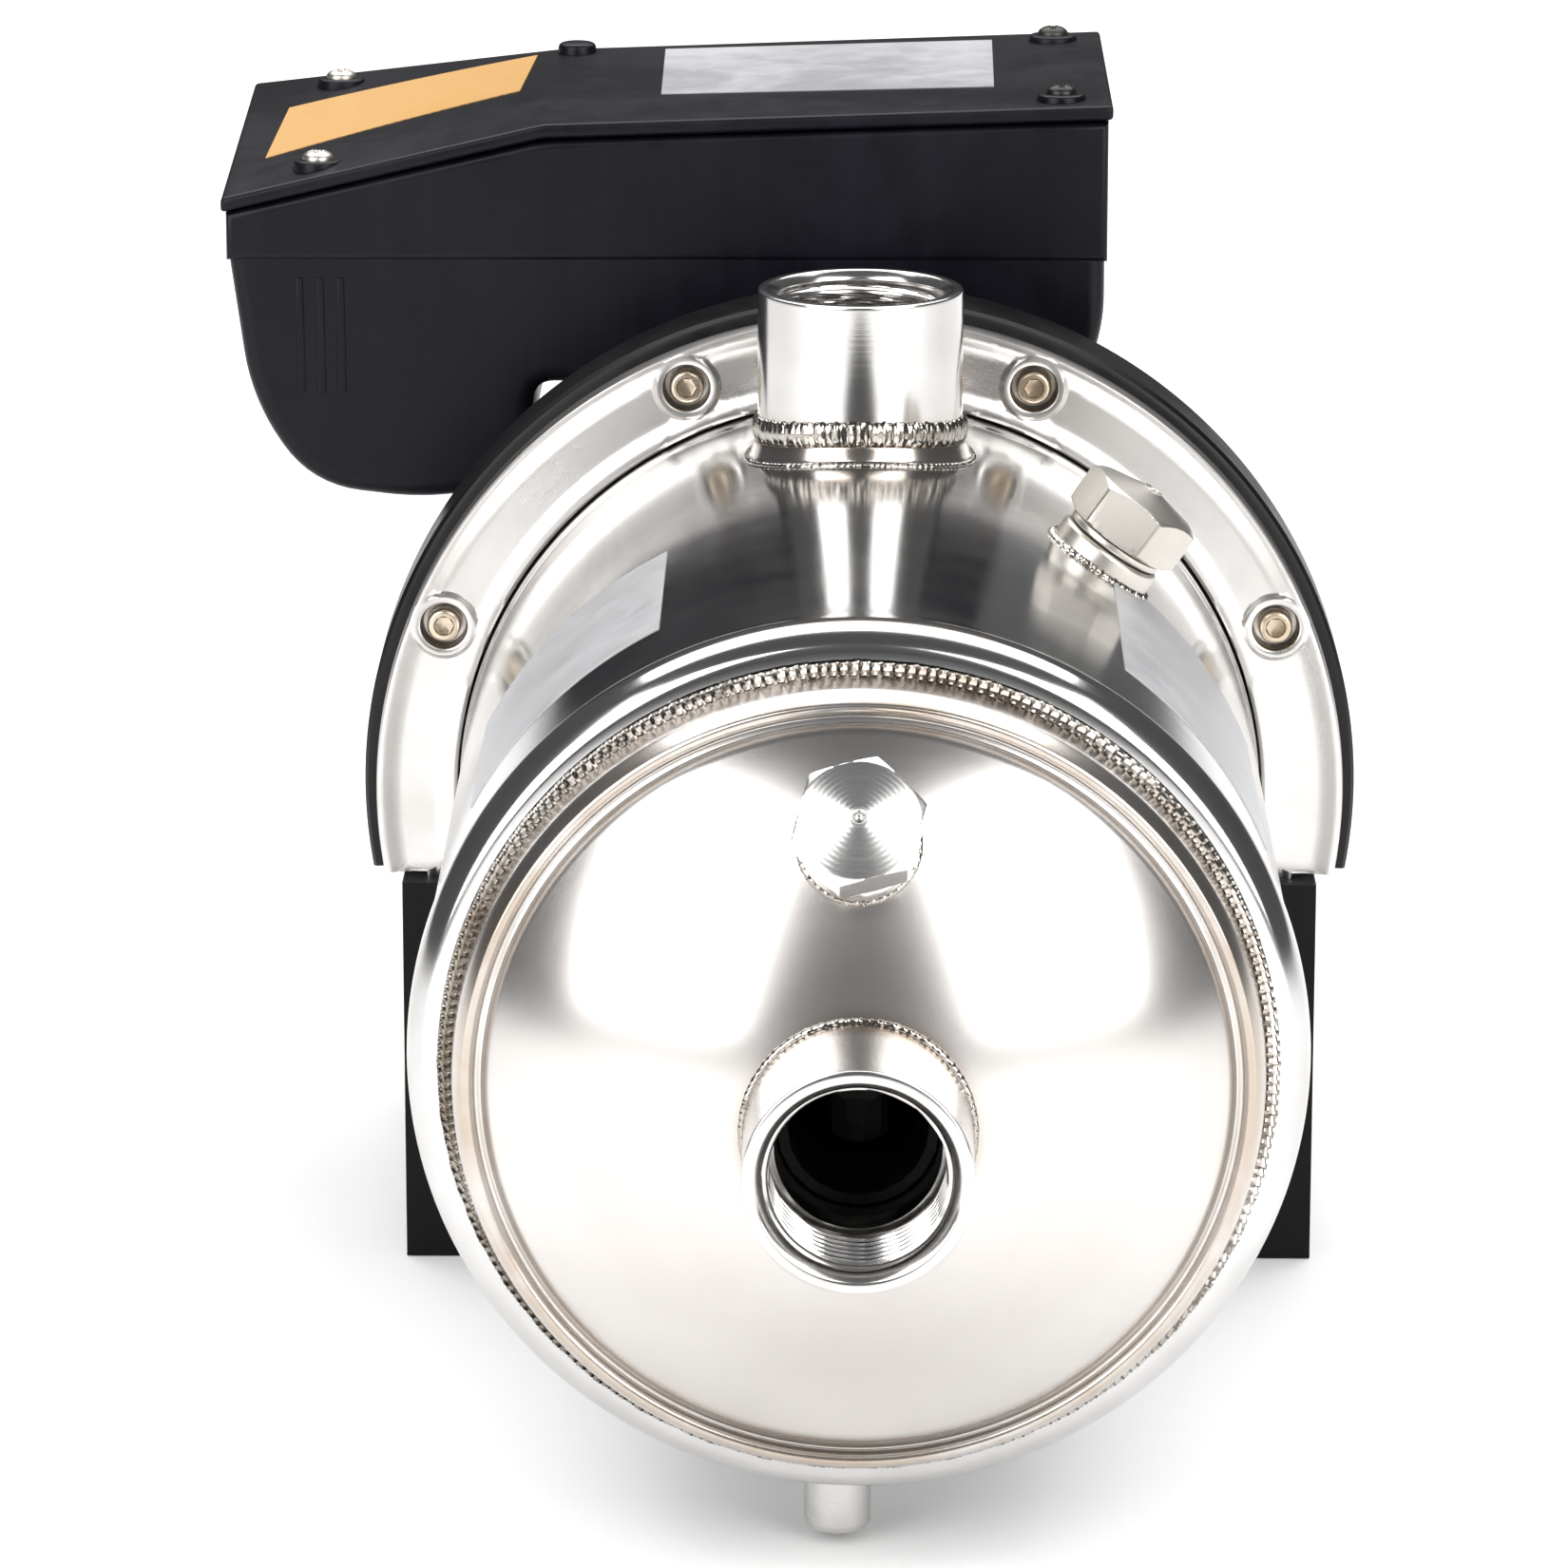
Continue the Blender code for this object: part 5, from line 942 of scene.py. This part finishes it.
def make_box():
    """Terminal box: base with a parting line and ribs, lid, corner bosses and lid screws."""
    base = eased_block(box_outline, BOX_FRONT, BOX_REAR, 0.0030, upright, 6)
    skirt = eased_block(skirt_outline, BOX_FRONT - SKIRT_PROUD, BOX_REAR + SKIRT_PROUD, 0.0014, upright, 5)
    shells = [base, skirt]
    for x in (-0.1150, -0.1108, -0.1066):
        rib = [(x - 0.0009, 0.0730), (x + 0.0009, 0.0730), (x + 0.0007, 0.0970), (x - 0.0007, 0.0970)]
        rib = np.array(rib)
        front = BOX_FRONT - 0.0003
        shells.append(eased_block(lambda y, rib=rib: rib, front, BOX_FRONT + 0.004, 0.0003, upright, 2))
    put("box_base", shells, BOX_PLASTIC, ["terminal_box"])
    lid = eased_block(lid_section, BOX_LEFT - LID_PROUD, BOX_RIGHT + LID_PROUD, 0.0009, sideways, 5, 90)
    put("box_cover", [lid], BOX_PLASTIC, ["box_lid"])
    collar = [
        (-0.001, 0.0, 0), (-0.001, 0.0052, 0), (0.0012, 0.0050, 0.0006), (0.0014, 0.0036, 0.0003),
        (0.0006, 0.0, 0),
    ]
    sides, ends = (BOX_LEFT + 0.018, BOX_RIGHT - 0.009), (BOX_FRONT + 0.009, BOX_REAR - 0.009)
    for number, (x, y) in enumerate([(x, y) for y in ends for x in sides], 1):
        top = AXIS + float(lid_height(x, y))
        boss = turned(eased(collar, loop=False), stand_at((x, y, top), UP), 72, loop=False)
        put("lid_boss_%d" % number, [boss], BOX_PLASTIC)
        head = domed_screw(stand_at((x, y, top + 0.0010), UP), 0.0032, 0.0022, 0.0121)
        bare = SCREW_STEEL if x < 0 else BLACK_SCREW
        put("cover_bolt_%d" % number, [head], bare, ["lid_screw_%d" % number], 24)
    knob = stand_at((FOLD + 0.004, BOX_REAR - 0.004, AXIS + 0.1285), UP)
    rows = eased([(0.0, 0.0, 0), (0.0, 0.0042, 0), (0.0026, 0.0040, 0.0010), (0.0032, 0.0, 0)], loop=False)
    put("lid_rear_boss", [turned(rows, knob, 60, loop=False)], BOX_PLASTIC)


def skirt_outline(y):
    """Upper half of the box's base, a little proud of it, down to the parting line."""
    right, left = BOX_RIGHT + SKIRT_PROUD, BOX_LEFT - SKIRT_PROUD
    return np.concatenate([lid_line((right, left), y, 0.0036), [(left, PART_LINE), (right, PART_LINE)]])


def domed_screw(where, radius, height, stem):
    """Domed head with a cross recess: the dome drops where either bar of the cross passes over it."""
    turn = np.linspace(0, math.pi / 2, 14)
    dome = np.stack([height * 0.25 + height * 0.75 * np.sin(turn), radius * np.cos(turn)], -1)
    rows = np.concatenate([[(-stem, 0.0), (-stem, 0.0015), (0.0, 0.0015), (0.0, radius)], dome])

    def warp(h, r, theta):
        a, b = np.abs(r * np.cos(theta)), np.abs(r * np.sin(theta))
        bar = np.minimum(a, b) < radius * 0.17
        cut = (bar & (r < radius * 0.62) & (h > height * 0.3)) * height * 0.42
        return h - cut, r

    return turned(rows, where, 96, loop=False, warp=warp)


def make_gland():
    """Cable gland at the rear of the box: domed ridged nut, open bore, and a hexagon where a radius is 2."""
    where = stand_at((0.020, BOX_REAR, AXIS + 0.0918), (0, 1, 0))
    rows = eased([
        (-0.0066, 0.0046, 0), (-0.0066, 0.0071, 0), (0.0004, 0.0071, 0), (0.0004, 2.0, 0), (0.0040, 2.0, 0),
        (0.0042, 0.0092, 0.0002), (0.0046, 0.0097, 0.0002), (0.0110, 0.0097, 0.0012),
        (0.0146, 0.0074, 0.0014), (0.0148, 0.0062, 0.0005), (0.0120, 0.0046, 0.0006),
    ])
    rows = filled(np.concatenate([rows, rows[:1]]), 0.0008)[:-1]
    rows[rows[:, 1] > 0.02, 1] = 2.0

    def warp(h, r, theta):
        nut = np.minimum(hexagonal(theta, 0.0178), 0.0098)
        ridge = 0.00028 * np.cos(24 * theta) * (r > 0.0088) * (r < 1.0) * (h > 0.0048)
        return h, np.where(r > 1.0, nut, r + ridge)

    nut = turned(rows, where, 240, warp=warp)
    put("gland_nut", [nut], STAND_PLASTIC, ["cable_gland"], 28)


# Labels


def film(points, thickness, normal):
    """A thin closed film over a grid of surface points, its edge wrapped round."""
    upper = points + normal * thickness
    lower = points - normal * thickness * 0.5
    rows, cols = points.shape[:2]
    edge = np.concatenate([
        np.arange(cols), cols * np.arange(1, rows) + cols - 1,
        (rows - 1) * cols + np.arange(cols - 2, -1, -1), cols * np.arange(rows - 2, 0, -1),
    ])
    top = quads(rows, cols, close_cols=False)
    shift = rows * cols
    side = np.stack([edge, np.roll(edge, -1), np.roll(edge, -1) + shift, edge + shift], -1)
    pts = np.concatenate([upper.reshape(-1, 3), lower.reshape(-1, 3)])
    return outward(pts, [top[:, ::-1], top + shift, side])


def make_labels():
    """Bare labels: two films on the barrel, a foil plate and an amber film on the lid."""
    thick, clear = 0.00012, 0.00006
    for name, low, high, front, rear in (
        ("left_barrel_film", 117.0, 152.0, -0.2115, -0.1510),
        ("right_barrel_film", 22.0, 53.0, -0.2112, -0.1350),
    ):
        angle = np.radians(np.linspace(low, high, 40))
        angle, y = np.meshgrid(angle, np.linspace(front, rear, 24), indexing="ij")
        normal = np.stack([np.cos(angle), 0 * angle, np.sin(angle)], -1)
        points = round_pump(BARREL + clear, angle, y)
        put(name, [film(points, thick, normal)], DATA_FOIL)
    foil = ((-0.0415, 0.0150), (0.0275, 0.0110), (0.0280, 0.0690), (-0.0420, 0.0710))
    amber = ((-0.1235, 0.0090), (-0.0715, 0.0300), (-0.0695, 0.0710), (-0.1215, 0.0500))
    for name, corners, finish in (("data_foil", foil, DATA_FOIL), ("amber_film", amber, AMBER_FILM)):
        c = np.array(corners)
        s, t = np.meshgrid(np.linspace(0, 1, 12), np.linspace(0, 1, 12), indexing="ij")
        s, t = s[..., None], t[..., None]
        flat = (1 - s) * (1 - t) * c[0] + s * (1 - t) * c[1] + s * t * c[2] + (1 - s) * t * c[3]
        points = np.concatenate([flat, AXIS + lid_height(flat[..., :1], flat[..., 1:]) + clear], -1)
        put(name, [film(points, thick, np.array(UP))], finish)


# Carried over


def keep_nodes():
    """Gives each CAD node that stays in view its finish."""
    finishes = {
        STAND_PLASTIC: ["stand", "cooling_fan", "ejector_body", "guide_bowl"],
        BLACK_PAINT: ["rear_shield"],
        RUBBER: ["casing_o_ring", "shaft_seal_head"],
        GREY_PLASTIC: ["ejector_nozzle", "capacitor", "terminal_block"],
        BRASS: ["impeller", "impeller_nut"],
        COPPER: ["front_winding", "rear_winding"],
        CARBON: ["shaft_seal_seat"],
        LAMINATED: ["rotor_core", "stator_core"],
        INNER_STEEL: ["seal_plate", "motor_shaft", "front_bearing", "rear_bearing"],
        SCREW_STEEL: ["cover_screw_%d" % k for k in (1, 2, 3)],
    }
    for finish, names in finishes.items():
        for name in names:
            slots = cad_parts[name].data.materials
            for k in range(len(slots)):
                slots[k] = finish


# Studio


def area_light(name, place, aim, size, power, colour=(1, 1, 1)):
    """A soft rectangular lamp aimed at a point."""
    data = bpy.data.lights.new(name, "AREA")
    data.shape, data.size, data.size_y = "RECTANGLE", size[0], size[1]
    data.energy, data.color = power, colour
    lamp = bpy.data.objects.new(name, data)
    lamp.location = place
    lamp.rotation_euler = (Vector(aim) - Vector(place)).to_track_quat("-Z", "Y").to_euler()
    link(lamp)


def make_studio():
    """Pale floor, soft lamps and the camera."""
    x, y = np.meshgrid(np.linspace(-8, 8, 9), np.linspace(-6, 12, 9), indexing="ij")
    mesh = bpy.data.meshes.new("floor")
    grid = np.stack([x, y, 0 * x - 0.0002], -1)
    mesh.from_pydata(grid.reshape(-1, 3).tolist(), [], quads(9, 9, close_cols=False).tolist())
    made, tree, shader = material("pale_floor", (0.93, 0.93, 0.93), 0.0, 0.8)
    mottle = noise(tree, object_coords(tree), 3.0)
    colour = mix(tree, mottle, (0.94, 0.94, 0.94), (0.91, 0.91, 0.91))
    tree.links.new(colour, shader.inputs["Base Color"])
    mesh.materials.append(made)
    floor = bpy.data.objects.new("floor", mesh)
    link(floor)
    target = (0, -0.15, 0.10)
    for name, x in (("left_softbox", -0.88), ("right_softbox", 0.88)):
        area_light(name, (x, -1.10, 0.80), target, (1.10, 1.36), 25)
    area_light("overhead", (0, 1.3, 2.3), (0, 1.0, 0), (3.4, 2.6), 105)
    world = bpy.data.worlds.new("studio")
    world.use_nodes = True
    sky = world.node_tree.nodes["Background"].inputs
    sky[0].default_value, sky[1].default_value = (0.9, 0.92, 0.95, 1), 0.13
    bpy.context.scene.world = world
    bpy.context.scene.view_settings.view_transform = "Standard"
    data = bpy.data.cameras.new("camera")
    data.lens, data.sensor_width = 174.55, 36.0
    camera = bpy.data.objects.new("camera", data)
    camera.location = (0.0, -1.5468, 0.4971)
    camera.rotation_euler = (math.radians(75), 0, math.radians(0.587))
    link(camera)
    bpy.context.scene.camera = camera


for make in (
    make_studio, make_barrel, make_cap, make_suction, make_discharge, make_plugs, make_drain, make_clamp_ring,
    make_bracket, make_motor_frame, make_fan_cover, make_box, make_gland, make_labels, keep_nodes,
):
    make()
